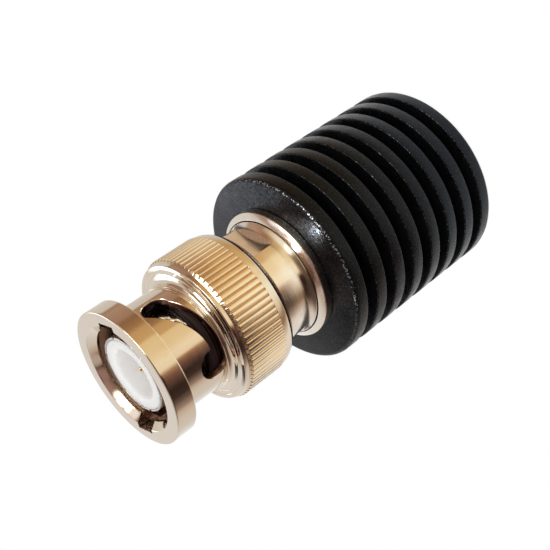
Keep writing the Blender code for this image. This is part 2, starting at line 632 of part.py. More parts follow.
def make_resistor():
    """Film rod with a cap on each end; the front one plugs into the pin, the rear one is earthed."""
    rod = ROD_DIAMETER / 2
    outline = [(0.0, ROD_TOP), (rod - ROD_EDGE_BREAK, ROD_TOP), (rod, ROD_TOP - ROD_EDGE_BREAK)]
    outline += [(rod, ROD_BOTTOM + ROD_EDGE_BREAK), (rod - ROD_EDGE_BREAK, ROD_BOTTOM), (0.0, ROD_BOTTOM)]
    part("resistor_rod", turned(outline, CORE_SIDES), RESISTOR_FILM)
    inner = CAP_BORE_RADIUS
    outer = CAP_RADIUS
    stub = STUB_DIAMETER / 2
    front = [(0.0, CAP_TOP + STUB_LENGTH), (stub, CAP_TOP + STUB_LENGTH), (stub, CAP_TOP), (outer, CAP_TOP)]
    front += [(outer, CAP_TOP - CAP_LENGTH), (inner, CAP_TOP - CAP_LENGTH)]
    front += [(inner, CAP_TOP - CAP_WALL), (0.0, CAP_TOP - CAP_WALL)]
    rear = [(radius, 2 * ROD_MIDDLE - height) for radius, height in front]
    part("resistor_front_cap", turned(front, CORE_SIDES), TINNED)
    part("resistor_rear_cap", turned(rear, CORE_SIDES), TINNED)


def make_ground_contact():
    """Split collet in the heat sink's floor that grips the rear cap's stub."""
    outline = ring(STUB_BORE_RADIUS, COLLET_RADIUS, COLLET_TOP - COLLET_LENGTH, COLLET_TOP)
    part("ground_contact", turned(outline, CORE_SIDES, FULL_TURN - COLLET_SLIT), GOLD)


def main():
    """Make every sub-part of the load."""
    clear_scene()
    make_heat_sink()
    make_flange_neck()
    make_plug_body()
    make_finger_sleeve()
    make_front_insulator()
    make_rear_insulator()
    make_centre_pin()
    make_face_gasket()
    make_coupling_nut()
    make_snap_ring()
    make_flat_washer()
    make_wave_washer("wave_washer_rear", REAR_WAVE_BOTTOM)
    make_wave_washer("wave_washer_front", FRONT_WAVE_BOTTOM)
    make_resistor()
    make_ground_contact()


main()
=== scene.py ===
"""Looks, light and camera for the coaxial dummy load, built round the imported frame.

Sizes are in millimetres until a mesh is made. The axis is +Z, and the mouth of the plug is on top.
"""

import math

import bmesh
import bpy
import numpy as np
from mathutils import Matrix, Vector


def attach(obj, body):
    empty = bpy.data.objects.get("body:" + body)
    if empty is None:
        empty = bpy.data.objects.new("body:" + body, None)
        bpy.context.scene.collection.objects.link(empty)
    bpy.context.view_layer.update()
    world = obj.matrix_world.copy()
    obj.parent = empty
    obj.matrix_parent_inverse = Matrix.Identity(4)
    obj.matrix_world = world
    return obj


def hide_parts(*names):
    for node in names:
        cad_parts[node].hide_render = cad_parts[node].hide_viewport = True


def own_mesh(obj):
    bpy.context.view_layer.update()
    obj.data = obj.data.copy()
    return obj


MM = 0.001
TURN = 2.0 * math.pi

# Camera, fitted to the turned edges in the picture
CAMERA_PLACE = (0.04813508, -0.07005732, 0.07190687)
CAMERA_TURN = (-44.07765154, 44.67246515, -109.5180644)
CAMERA_LENS = 66.16
CAMERA_SENSOR = 36.0

# Heat sink
FIN_RADIUS = 10.0
FIN_ROOT = 6.6
FIN_PITCH = 2.7
FIN_GAP = 1.35
FIN_GROOVES = 7
FIN_ROUND = 0.13
ROOT_ROUND = 0.12
SINK_TOP = 20.6
FRONT_DISC = 1.6
FRONT_ROUND = 0.42
REAR_ROUND = 0.3
# Bores from the back to the front, as (radius, foot)
SINK_BORES = ((1.05, 5.7), (3.2, 8.15), (4.55, 15.6))

# Neck and flange
NECK_RADIUS = 5.9
NECK_TOP = 26.8
NECK_ROUND = 0.10
NECK_EYE = 2.0
NECK_FLOOR = 21.7
NECK_BORE = 3.95
SPIGOT_RADIUS = 4.5
SPIGOT_FOOT = 15.65
SPIGOT_ROUND = 0.15
FLANGE_RADIUS = 6.9
FLANGE_FOOT = 20.65
FLANGE_ROUND = 0.08
# From the flange's edge over the seam to the neck's shoulder, as (radius, height, round)
FLANGE_FACE = (
    (FLANGE_RADIUS, 21.50, 0.14), (6.27, 21.93, 0.04), (6.24, 21.80, 0), (6.17, 21.80, 0),
    (6.15, 21.99, 0.03),
)
SEAM_RADII = (6.14, 6.265)
SEAM_HEIGHTS = (21.6, 21.88)
COVE_FOOT = 22.03
COVE_HEIGHT = 0.95
COVE_REACH = 0.235
FLAT_DISTANCE = 5.35
FLAT_FOOT = 22.9
FLAT_TURN = math.radians(-5.5)

# Plug body, contacts and insulator
PLUG_EYE = 2.2
PLUG_FOOT = 21.75
PLUG_SHANK = 3.9
PLUG_STEM = 4.55
STEM_FOOT = 26.85
SHOULDER_FOOT = 30.75
SHOULDER_TOP = 31.65
SHOULDER_RADIUS = 5.9
PLUG_BORE = 3.95
PLUG_FLOOR = 30.6
SEAT_RADIUS = 4.78
SEAT_TOP = 33.1
SLEEVE_INSIDE = 3.67
SLEEVE_RADIUS = 3.9
SLEEVE_FOOT = 30.65
CONTACT_TOP = 39.4
SLIT_FOOT = 34.9
SLIT_HALF = 0.13
SLIT_COUNT = 6
SLIT_TURN = math.radians(15.1)
CUP_RADIUS = 3.65
CUP_BORE = 2.45
CUP_FLOOR = 34.1
PIN_HOLE = 0.725
GASKET_FOOT = 33.15
GASKET_TOP = 33.95
GASKET_ROUND = 0.22
# Pin from its tip to its rear socket, as (radius, height, round)
PIN_RADIUS = 0.675
PIN_COLLAR = 1.1
PIN_SOCKET = 0.55
PIN_CORNERS = (
    (0.0, 38.55, 0), (0.18, 38.55, 0.10), (0.50, 37.75, 0.40), (PIN_RADIUS, PLUG_FLOOR, 0),
    (PIN_COLLAR, PLUG_FLOOR, 0.05), (PIN_COLLAR, 29.8, 0.05), (PIN_RADIUS, 29.8, 0),
    (PIN_RADIUS, 19.85, 0), (PIN_COLLAR, 19.85, 0.05), (PIN_COLLAR, 17.65, 0.05),
    (PIN_SOCKET, 17.65, 0), (PIN_SOCKET, 19.35, 0), (0.0, 19.35, 0),
)

# Coupling nut
MOUTH = 40.1
MOUTH_CHAMFER = 0.65
MOUTH_ROUND = 0.10
RIM_BACK = 38.0
RIM_RADIUS = 6.93
BARREL_RADIUS = 5.45
BORE_RADIUS = 4.88
COLLAR_TOP = 32.3
COLLAR_BOTTOM = 31.85
COLLAR_RADIUS = 7.15
COLLAR_LINES = (6.33, 6.72)
FILLET_STEP = 0.035
FILLET_REACH = 0.75
FILLET_HEIGHT = 0.44
FILLET_FOOT = 0.06
KNURL_TOP = 31.55
KNURL_BOTTOM = 27.45
KNURL_RADIUS = 7.45
KNURL_RIDGES = 76
KNURL_DEPTH = 0.2
KNURL_HALF_WIDTH = 0.118
# A groove's flat floor, as a share of its depth, and its least depth
KNURL_FLAT = 0.9
KNURL_EDGE = 0.012
RING_TOP = 27.35
RING_RADIUS = 7.35
RING_FACE = 6.78
NUT_BOTTOM = 25.9
CHAMBER_RADIUS = 6.0
CHAMBER_TOP = 31.7
SNAP_GROOVE = (6.45, 27.1, 27.8)

# Bayonet slots, as depths from the mouth and angles round the axis
ENTRY_DEPTH = 4.4
ENTRY_ANGLE = math.radians(-16.0)
ENTRY_RADIUS = 1.35
CREST_DEPTH = 6.10
CREST_ANGLE = math.radians(-77.5)
END_DEPTH = 5.87
END_ANGLE = math.radians(-93.5)
END_RADIUS = 1.37
# How far the slot's outline is set out at each radius, which bevels its outer edge
SLOT_LEVELS = ((4.5, 0.0), (5.33, 0.0), (5.39, 0.02), (5.46, 0.085), (6.4, 0.09))
BURR_ANGLES = (math.radians(-25.0), math.radians(-47.0))
BURR_SIZE = 0.24

# Keyways, with a wider pocket at the mouth
KEYWAY_HALF = 1.1
KEYWAY_RADIUS = 5.25
KEYWAY_DEPTH = 5.5
POCKET_RADIUS = 5.85
POCKET_DEPTH = 1.6
CUTTER_INSIDE = 3.9
CUTTER_TOP = 41.1
# Torn outer edge of a pocket, as (share of its width, reach past the pocket's radius)
POCKET_EDGE = (
    (0.0, 0.06), (0.09, 0.13), (0.16, 0.05), (0.24, 0.11), (0.31, 0.03), (0.40, 0.09), (0.46, 0.0),
    (0.55, 0.06), (0.62, -0.04), (0.70, 0.02), (0.78, -0.07), (0.88, -0.02), (1.0, -0.08),
)

# Wave washers, as (piece, node it replaces, foot)
WAVES = (("spring_rear", "wave_washer_rear", 28.25), ("spring_front", "wave_washer_front", 29.5))
WAVE_RADII = (4.65, 5.9)
WAVE_THICKNESS = 0.22
WAVE_ROUND = 0.05
WAVE_RISE = 0.49
WAVE_CRESTS = 3.0

# Spiral cut on the resistor
SPIRAL_PITCH = 1.1
SPIRAL_SHARE = 0.12

# Floor disc, with the grey of its paint, of its shadow's paint and the glow added to that
FLOOR_RADIUS = 22.0
FLOOR_DROP = 0.02
FLOOR_PAINT = 0.80
FLOOR_SHADE = 0.40
FLOOR_GLOW = 0.78

# Lamps, in metres
LAMP_TARGET = (0.0, 0.0, 0.02)
GLINT_PLACE = (0.0047, -0.0048, 0.0237)
GLINT_TARGET = (0.0054, -0.0054, 0.0206)
GLINT_POWER = 0.0008
GLINT_CONE = math.radians(80.0)
GLINT_SIZE = 0.0001
WHITE = (1.0, 1.0, 1.0, 1.0)
MATT_LIGHT = ((1.0, 0.985, 0.96, 1.0), 0.62)

# After a cut, corners closer than the first join, and edges shorter than the second go
MERGE_GAP = 0.0015
STRAY_GAP = 0.0002

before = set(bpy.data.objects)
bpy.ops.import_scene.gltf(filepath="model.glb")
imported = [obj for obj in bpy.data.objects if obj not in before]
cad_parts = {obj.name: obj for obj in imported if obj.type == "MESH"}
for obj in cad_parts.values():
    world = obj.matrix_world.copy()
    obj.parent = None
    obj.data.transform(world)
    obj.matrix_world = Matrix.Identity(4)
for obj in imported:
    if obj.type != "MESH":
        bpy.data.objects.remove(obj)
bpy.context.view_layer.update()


# Mesh helpers


def softened(outline, steps=3):
    """Outline of (radius, height, round) corners with each corner's round put in."""
    points = []
    count = len(outline)
    for index, (radius, height, reach) in enumerate(outline):
        here = np.array((radius, height))
        if reach <= 0.0:
            points.append(here)
            continue
        before = np.array(outline[index - 1][:2]) - here
        after = np.array(outline[(index + 1) % count][:2]) - here
        long_before, long_after = np.linalg.norm(before), np.linalg.norm(after)
        before, after = before / long_before, after / long_after
        half = math.acos(max(-1.0, min(1.0, float(before @ after)))) / 2.0
        along = min(reach / math.tan(half), 0.48 * long_before, 0.48 * long_after)
        size = along * math.tan(half)
        middle = before + after
        centre = here + middle / np.linalg.norm(middle) * size / math.sin(half)
        start, end = here + before * along - centre, here + after * along - centre
        sweep = math.atan2(start[0] * end[1] - start[1] * end[0], float(start @ end))
        for step in range(steps + 1):
            angle = sweep * step / steps
            cosine, sine = math.cos(angle), math.sin(angle)
            turned = (start[0] * cosine - start[1] * sine, start[0] * sine + start[1] * cosine)
            points.append(centre + np.array(turned))
    return points


def divided(points, low, high, gap):
    """Points with extra ones on the long upright stretches between two heights."""
    result = []
    for here, there in zip(points, points[1:] + points[:1]):
        result.append(here)
        if min(here[1], there[1]) < low or max(here[1], there[1]) > high:
            continue
        pieces = int(abs(there[1] - here[1]) / gap)
        for step in range(1, pieces):
            result.append(here + (there - here) * step / pieces)
    return result


def round_axis(radius, angle, height):
    """Place in metres at a radius, an angle round the axis and a height."""
    return (radius * math.cos(angle) * MM, radius * math.sin(angle) * MM, height * MM)


def lathe(name, points, angles, groove=None, closed=True):
    """Turned mesh of an outline, with its columns at the given angles.

    An outline that isn't closed starts and ends on the axis. groove changes a radius by its
    height and angle.
    """
    shape = bmesh.new()
    rings = []
    for radius, height in points:
        if radius < 1e-6:
            rings.append([shape.verts.new((0.0, 0.0, height * MM))])
            continue
        ring = []
        for angle in angles:
            reach = groove(radius, height, angle) if groove else radius
            ring.append(shape.verts.new(round_axis(reach, angle, height)))
        rings.append(ring)
    pairs = list(zip(rings, rings[1:]))
    if closed:
        pairs.append((rings[-1], rings[0]))
    columns = len(angles)
    for first, second in pairs:
        for index in range(columns):
            corners = [first[index % len(first)], first[(index + 1) % len(first)]]
            corners += [second[(index + 1) % len(second)], second[index % len(second)]]
            unique = list(dict.fromkeys(corners))
            if len(unique) > 2:
                shape.faces.new(unique)
    bmesh.ops.recalc_face_normals(shape, faces=shape.faces)
    return placed(name, shape)


def linked(name, data):
    """New object in the scene."""
    item = bpy.data.objects.new(name, data)
    bpy.context.scene.collection.objects.link(item)
    return item


def placed(name, shape):
    """Object of a shape, in the scene."""
    mesh = bpy.data.meshes.new(name)
    shape.to_mesh(mesh)
    shape.free()
    return linked(name, mesh)


def even(columns):
    """Evenly spaced angles round the axis."""
    return [TURN * index / columns for index in range(columns)]


def smooth(item, limit=32.0):
    """Smooth shading with sharp edges above an angle in degrees."""
    item.data.shade_smooth()
    item.data.set_sharp_from_angle(angle=math.radians(limit))
    return item


def carve(item, cutters):
    """Cut the cutters out of a piece for good, and remove them."""
    for cutter in cutters:
        modifier = item.modifiers.new(cutter.name, "BOOLEAN")
        modifier.operation = "DIFFERENCE"
        modifier.solver = "MANIFOLD"
        modifier.object = cutter
    bpy.context.view_layer.update()
    seen = bpy.context.evaluated_depsgraph_get()
    mesh = bpy.data.meshes.new_from_object(item.evaluated_get(seen))
    item.modifiers.clear()
    shape = bmesh.new()
    shape.from_mesh(mesh)
    bmesh.ops.remove_doubles(shape, verts=shape.verts, dist=MERGE_GAP * MM)
    bmesh.ops.dissolve_degenerate(shape, edges=shape.edges, dist=STRAY_GAP * MM)
    shape.to_mesh(mesh)
    shape.free()
    old = item.data
    item.data = mesh
    bpy.data.meshes.remove(old)
    for cutter in cutters:
        bpy.data.objects.remove(cutter, do_unlink=True)


def dressed(item, material, body, slot, *nodes):
    """Give a piece its material and say what it rides on and replaces; the slot is not used."""
    item.data.materials.clear()
    item.data.materials.append(material)
    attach(item, body)
    if nodes:
        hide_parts(*nodes)


def repeated(shape, count):
    """Repeat a shape round the axis."""
    first = shape.verts[:] + shape.edges[:] + shape.faces[:]
    for index in range(1, count):
        copy = bmesh.ops.duplicate(shape, geom=first)["geom"]
        corners = [part for part in copy if isinstance(part, bmesh.types.BMVert)]
        turn = Matrix.Rotation(TURN * index / count, 3, "Z")
        bmesh.ops.rotate(shape, verts=corners, cent=(0.0, 0.0, 0.0), matrix=turn)
    return shape


def prism(outline, low, high, turn, count, name):
    """Upright prism on (x, y) corners between two heights, turned and repeated round the axis."""
    shape = bmesh.new()
    floor = [shape.verts.new((x * MM, y * MM, low * MM)) for x, y in outline]
    roof = [shape.verts.new((x * MM, y * MM, high * MM)) for x, y in outline]
    shape.faces.new(floor[::-1])
    shape.faces.new(roof)
    for index in range(len(outline)):
        after = (index + 1) % len(outline)
        shape.faces.new((floor[index], floor[after], roof[after], roof[index]))
    bmesh.ops.recalc_face_normals(shape, faces=shape.faces)
    turning = Matrix.Rotation(turn, 3, "Z")
    bmesh.ops.rotate(shape, verts=shape.verts, cent=(0.0, 0.0, 0.0), matrix=turning)
    return placed(name, repeated(shape, count))


def rectangle(near, far, half):
    """Corners of a rectangle across the x axis."""
    return [(near, -half), (far, -half), (far, half), (near, half)]


# Node helpers


class Graph:
    """A node tree with short calls for its nodes."""

    def __init__(self, tree):
        self.tree = tree

    def feed(self, node, inputs):
        """Link or set a node's inputs."""
        for key, value in inputs.items():
            if isinstance(value, bpy.types.NodeSocket):
                self.tree.links.new(value, node.inputs[key])
            else:
                node.inputs[key].default_value = value
        return node

    def node(self, kind, inputs=(), **settings):
        made = self.tree.nodes.new(kind)
        for key, value in settings.items():
            setattr(made, key, value)
        return self.feed(made, dict(inputs))

    def math(self, operation, *values):
        inputs = dict(enumerate(values))
        return self.node("ShaderNodeMath", inputs, operation=operation).outputs[0]

    def product(self, value, *others):
        for other in others:
            value = self.math("MULTIPLY", value, other)
        return value

    def total(self, value, *others):
        for other in others:
            value = self.math("ADD", value, other)
        return value

    def between(self, value, low, high):
        """1 where a value lies between two limits, and 0 elsewhere."""
        above = self.math("GREATER_THAN", value, low)
        return self.product(above, self.math("LESS_THAN", value, high))

    def range(self, value, low, high, first=0.0, last=1.0):
        """A value's smooth share between low and high, spread between first and last."""
        inputs = {0: value, 1: low, 2: high, 3: first, 4: last}
        return self.node("ShaderNodeMapRange", inputs, interpolation_type="SMOOTHSTEP").outputs[0]

    def mix(self, share, first, second):
        """Mix of two colours."""
        inputs = {0: share}
        for key, colour in ((6, first), (7, second)):
            linked = isinstance(colour, bpy.types.NodeSocket)
            inputs[key] = colour if linked else (*colour, 1.0)
        return self.node("ShaderNodeMix", inputs, data_type="RGBA").outputs[2]

    def polar(self):
        """Place, distance from the axis and height in millimetres, and angle round the axis."""
        place = self.node("ShaderNodeTexCoord").outputs["Object"]
        x, y, z = self.node("ShaderNodeSeparateXYZ", {0: place}).outputs
        squares = self.total(self.math("POWER", x, 2.0), self.math("POWER", y, 2.0))
        radius = self.product(self.math("SQRT", squares), 1.0 / MM)
        height = self.product(z, 1.0 / MM)
        return place, radius, height, self.math("ARCTAN2", y, x)

    def noise(self, vector, scale, detail=2.0, rough=0.5):
        inputs = {"Vector": vector, "Scale": scale, "Detail": detail, "Roughness": rough}
        return self.node("ShaderNodeTexNoise", inputs).outputs["Fac"]

    def turned_lines(self, radius, height, angle, fine, along=1.5):
        """Noise drawn out round the axis, as a cutting tool leaves it."""
        cosine = self.product(self.math("COSINE", angle), along)
        across = self.total(self.product(radius, fine), cosine)
        up = self.total(self.product(height, fine), self.math("SINE", angle))
        inputs = {0: across, 1: up, 2: self.product(angle, along)}
        vector = self.node("ShaderNodeCombineXYZ", inputs).outputs[0]
        return self.noise(vector, 1.0, detail=3.0, rough=0.6)

    def bump(self, height, strength, distance, normal=None):
        inputs = {"Strength": strength, "Distance": distance * MM, "Height": height}
        if normal is not None:
            inputs["Normal"] = normal
        return self.node("ShaderNodeBump", inputs).outputs[0]


def material(name):
    """New material with its graph and its Principled shader."""
    made = bpy.data.materials.new(name)
    made.use_nodes = True
    shader = made.node_tree.nodes["Principled BSDF"]
    return made, Graph(made.node_tree), shader


# Colours and roughness of the materials. Pairs are the two ends of a mix.
NICKEL_PAIR = ((0.86, 0.79, 0.69), (0.74, 0.62, 0.49))
NECK_PAIR = ((0.95, 0.91, 0.85), (0.80, 0.68, 0.54))
# Plug body inside the nut: nickel painted nearly black, a painted shade
INSIDE_SHADE_PAIR = ((0.10, 0.07, 0.06), (0.05, 0.03, 0.03))
# Torn plating of the burr, painted near white as a highlight
BURR_HIGHLIGHT_PAIR = ((0.97, 0.95, 0.92), (0.88, 0.82, 0.74))
CONTACT_PAIR = ((0.66, 0.65, 0.64), (0.42, 0.38, 0.34))
GOLD_PAIR = ((0.95, 0.70, 0.32), (0.70, 0.45, 0.18))
SPRING_PAIR = ((0.55, 0.53, 0.50), (0.36, 0.32, 0.28))
TIN_PAIR = ((0.78, 0.77, 0.75), (0.52, 0.50, 0.46))
# Knurl: lighter, warmer ridges, a painted golden reflection, and darker grooves, painted shade
KNURL_SHEEN_AND_SHADE_PAIR = ((0.97, 0.88, 0.71), (0.80, 0.60, 0.41))
# Painted shade inside the nut, deep in the bore and in the pockets, and painted light on the bore's
# wall near the mouth
BORE_DEEP_SHADE = (0.26, 0.15, 0.12)
POCKET_SHADE = (0.42, 0.30, 0.25)
BORE_WALL_LIT = (0.95, 0.72, 0.56)
# Brown painted shade on the ring's rear edge, which tints the dark reflection there
REAR_EDGE_SHADE = (0.82, 0.56, 0.38)
# Painted shade in the seam between the flange and the neck
SEAM_SHADE = (0.05, 0.025, 0.015)
BLACK_PAIR = ((0.0022, 0.0022, 0.0027), (0.0050, 0.0045, 0.0052))
BLACK_DUST = (0.05, 0.05, 0.055)
BLACK_TINT = (0.70, 0.84, 1.0, 1.0)
# Worn anodising on the edges, paler where the light falls, a painted highlight
WEAR_AND_HIGHLIGHT_PAIR = ((0.20, 0.20, 0.22), (0.75, 0.76, 0.80))
PTFE_PAIR = ((0.975, 0.970, 0.985), (0.955, 0.950, 0.970))
# Dark red silicone, darkened to near black as painted shade inside the nut
SILICONE_SHADE_PAIR = ((0.022, 0.007, 0.008), (0.014, 0.005, 0.006))
FILM_PAIR = ((0.075, 0.050, 0.038), (0.110, 0.080, 0.062))
FILM_CUT = (0.55, 0.52, 0.47)
# Side of the front disc's edge that faces the light, as an angle round the axis
LIT_SIDE = 0.75


def plated_metal(name, pair, rough, lines=0.10, fine=9.0, extra=None):
    """Bright plated metal: faint turned lines, thin tarnish, and smudges that dull the gloss.

    extra changes the shade and the gloss by radius and height.
    """
    made, graph, shader = material(name)
    place, radius, height, angle = graph.polar()
    smudge = graph.noise(place, 260.0, detail=3.0, rough=0.55)
    grain = graph.noise(place, 5200.0, detail=2.0, rough=0.6)
    wave = graph.noise(place, 420.0)
    drawn = graph.turned_lines(radius, height, angle, fine)
    stain = graph.range(graph.noise(place, 620.0, detail=4.0, rough=0.6), 0.50, 0.78)
    shade = graph.mix(graph.product(stain, 0.35), *pair)
    gloss = graph.range(smudge, 0.35, 0.70, *rough)
    gloss = graph.total(gloss, graph.product(graph.math("SUBTRACT", drawn, 0.5), 0.08))
    if extra:
        shade, gloss = extra(graph, radius, height, shade, gloss)
    normal = graph.bump(wave, strength=0.05, distance=0.05)
    normal = graph.bump(grain, strength=0.04, distance=0.01, normal=normal)
    normal = graph.bump(drawn, strength=lines, distance=0.012, normal=normal)
    graph.feed(shader, {"Base Color": shade, "Roughness": gloss, "Metallic": 1.0, "Normal": normal})
    return made


def nut_looks(graph, radius, height, shade, gloss):
    """Knurl with painted reflection on its ridges and painted shade in its grooves, unpolished
    insides in painted shade with painted light near the mouth, and a rear edge in painted shade.
    """
    knurl = graph.product(
        graph.range(height, RING_TOP + 0.01, RING_TOP + 0.07),
        graph.range(height, KNURL_TOP + 0.20, KNURL_TOP + 0.13),
        graph.range(radius, COLLAR_RADIUS - 0.05, COLLAR_RADIUS + 0.05),
    )
    # Painted shade: the knurl darkens towards the floor of each groove
    groove = graph.range(radius, KNURL_RADIUS - 0.02, KNURL_RADIUS - 0.15)
    shade = graph.mix(knurl, shade, graph.mix(groove, *KNURL_SHEEN_AND_SHADE_PAIR))
    gloss = graph.total(gloss, graph.product(knurl, 0.10))
    # Inside: within the barrel and the wider pockets, and below the polished chamfer and face. Its
    # colour is painted shade, darkest deep in the bore, with painted light on the bore's wall near
    # the mouth.
    reach = graph.range(
        height, RIM_BACK - 0.10, RIM_BACK - 0.02, BARREL_RADIUS - 0.03, POCKET_RADIUS + 0.14
    )
    chamfer = graph.math("SUBTRACT", radius, BORE_RADIUS + 0.27 - (MOUTH - MOUTH_CHAMFER))
    roof = graph.math("MINIMUM", chamfer, MOUTH - 0.03)
    inside = graph.product(
        graph.math("LESS_THAN", radius, reach), graph.math("LESS_THAN", height, roof)
    )
    near_mouth = graph.range(height, RIM_BACK - 0.5, RIM_BACK + 0.5)
    wall = graph.math("LESS_THAN", radius, BORE_RADIUS + 0.03)
    lit = graph.mix(wall, POCKET_SHADE, BORE_WALL_LIT)
    shade = graph.mix(inside, shade, graph.mix(near_mouth, BORE_DEEP_SHADE, lit))
    dull = graph.range(graph.product(wall, near_mouth), 0.0, 1.0, 0.22, 0.45)
    gloss = graph.total(gloss, graph.product(inside, dull))
    # Painted shade: the ring's lower, rear edge turns brown and duller
    rear = graph.range(height, NUT_BOTTOM + 0.50, NUT_BOTTOM + 0.15)
    shade = graph.mix(rear, shade, REAR_EDGE_SHADE)
    return shade, graph.total(gloss, graph.product(rear, 0.22))


def neck_looks(graph, radius, height, shade, gloss):
    """Painted shade in the seam between the flange and the neck."""
    painted_seam_shade = graph.product(
        graph.between(radius, *SEAM_RADII), graph.between(height, *SEAM_HEIGHTS)
    )
    return graph.mix(painted_seam_shade, shade, SEAM_SHADE), gloss


def anodised(name):
    """Black anodising: turned lines, grain, dust and worn edges, with a painted highlight on the
    edges and a painted sheen of glitter on the front disc, both stronger on the side facing the
    light.
    """
    made, graph, shader = material(name)
    place, radius, height, angle = graph.polar()
    upright = graph.node("ShaderNodeTexCoord").outputs["Normal"]
    lean = graph.math("ABSOLUTE", graph.node("ShaderNodeSeparateXYZ", {0: upright}).outputs[2])
    front = graph.range(lean, 0.80, 0.95)
    edge = graph.product(graph.range(lean, 0.45, 0.60), graph.range(lean, 0.93, 0.85))
    face = graph.product(front, graph.range(height, SINK_TOP - 0.5, SINK_TOP - 0.1))
    outside = graph.range(radius, FIN_RADIUS - 0.4, FIN_RADIUS - 0.1)
    shown = graph.math("MAXIMUM", face, outside)
    side = graph.math("COSINE", graph.total(angle, LIT_SIDE))

    cloud = graph.range(graph.noise(place, 300.0, detail=3.0, rough=0.6), 0.3, 0.7)
    shade = graph.mix(cloud, *BLACK_PAIR)
    dust = graph.range(graph.noise(place, 6200.0, rough=0.7), 0.60, 0.68)
    shade = graph.mix(graph.product(dust, shown, 0.5), shade, BLACK_DUST)
    speck = graph.range(graph.noise(place, 6500.0, detail=1.0), 0.54, 0.66)
    worn = graph.product(edge, speck)
    # Painted highlight: worn edges near the front turn paler and more metallic on the side facing
    # the light
    lit_edge = graph.range(height, SINK_TOP - 0.7, SINK_TOP - 0.5)
    painted_highlight = graph.product(lit_edge, graph.range(side, 0.2, 0.85))
    bare_and_highlight = graph.product(worn, graph.range(painted_highlight, 0.0, 1.0, 0.40, 0.92))
    shade = graph.mix(bare_and_highlight, shade, graph.mix(painted_highlight, *WEAR_AND_HIGHLIGHT_PAIR))

    gloss = graph.noise(place, 900.0, detail=3.0, rough=0.6)
    gloss = graph.range(gloss, 0.3, 0.7, 0.20, 0.32)
    gloss = graph.math("SUBTRACT", gloss, graph.product(worn, 0.08))

    # Painted sheen: more glitter on the side of the front disc that faces the light
    lit_side_sheen = graph.product(face, graph.range(side, 0.0, 0.9))
    glitter = graph.range(graph.noise(place, 7600.0, detail=1.0), 0.40, 0.64, -0.65, 1.0)
    amount = graph.product(shown, graph.total(graph.product(lit_side_sheen, 0.75), 0.25))
    level = graph.total(graph.product(front, 0.12), 0.20, worn)
    level = graph.product(level, graph.total(graph.product(glitter, amount), 1.0))

    drawn = graph.turned_lines(radius, height, angle, fine=7.0, along=2.0)
    plain = graph.range(lit_side_sheen, 0.0, 1.0, 0.45, 1.0)
    coarse = graph.math("MAXIMUM", graph.math("SUBTRACT", 1.0, front), plain)
    grain = graph.product(graph.noise(place, 5600.0, rough=0.7), coarse)
    normal = graph.bump(drawn, strength=0.22, distance=0.02)
    normal = graph.bump(grain, strength=0.90, distance=0.030, normal=normal)

    graph.feed(shader, {"Base Color": shade, "Metallic": bare_and_highlight, "Roughness": gloss})
    graph.feed(shader, {"Specular IOR Level": level, "Specular Tint": BLACK_TINT, "Normal": normal})
    return made


def plastic(name, pair, rough, subsurface=0.0):
    """Turned or moulded plastic with faint rings and a slightly uneven colour."""
    made, graph, shader = material(name)
    place, radius, height, angle = graph.polar()
    drawn = graph.turned_lines(radius, height, angle, fine=6.0)
    cloud = graph.range(graph.noise(place, 700.0, detail=3.0, rough=0.6), 0.35, 0.7)
    gloss = graph.range(graph.noise(place, 1200.0), 0.3, 0.7, rough, rough + 0.12)
    normal = graph.bump(drawn, strength=0.05, distance=0.01)
    shade = graph.mix(cloud, *pair)
    graph.feed(shader, {"Base Color": shade, "Roughness": gloss, "Normal": normal})
    if subsurface > 0.0:
        depth = {"Subsurface Radius": (1.0, 0.9, 0.8), "Subsurface Scale": 0.8 * MM}
        graph.feed(shader, {"Subsurface Weight": subsurface, **depth})
    return made


def resistor_body(name):
    """Brown film on a ceramic rod, with the spiral cut that trims its value."""
    made, graph, shader = material(name)
    place, _, height, angle = graph.polar()
    climb = graph.math("SUBTRACT", height, graph.product(angle, SPIRAL_PITCH / TURN))
    share = graph.math("FRACT", graph.math("DIVIDE", climb, SPIRAL_PITCH))
    cut = graph.math("LESS_THAN", share, SPIRAL_SHARE)
    cloud = graph.range(graph.noise(place, 900.0, detail=3.0, rough=0.6), 0.3, 0.7)
    shade = graph.mix(cut, graph.mix(cloud, *FILM_PAIR), FILM_CUT)
    normal = graph.bump(cloud, strength=0.1, distance=0.02)
    graph.feed(shader, {"Base Color": shade, "Roughness": 0.5, "Normal": normal})
    return made


NICKEL = plated_metal("nickel", NICKEL_PAIR, (0.055, 0.11), lines=0.05, extra=nut_looks)
NICKEL_NECK = plated_metal(
    "nickel_neck", NECK_PAIR, (0.11, 0.21), lines=0.22, fine=6.0, extra=neck_looks
)
# Painted shade: the plug body's nickel, darkened as it sits inside the nut
NICKEL_SHADED = plated_metal("nickel_painted_shade", INSIDE_SHADE_PAIR, (0.25, 0.40))
NICKEL_BURR_LIT = plated_metal("nickel_burr_highlight", BURR_HIGHLIGHT_PAIR, (0.32, 0.42))
CONTACT = plated_metal("contact", CONTACT_PAIR, (0.20, 0.32))
GOLD = plated_metal("gold", GOLD_PAIR, (0.15, 0.25))
SPRING = plated_metal("spring", SPRING_PAIR, (0.24, 0.38), lines=0.16, fine=14.0)
TINNED = plated_metal("tinned", TIN_PAIR, (0.28, 0.42))
BLACK = anodised("black_anodised")
PTFE = plastic("ptfe", PTFE_PAIR, 0.34, subsurface=0.8)
SILICONE = plastic("silicone", SILICONE_SHADE_PAIR, 0.55)
FILM = resistor_body("resistor_film")


# Heat sink


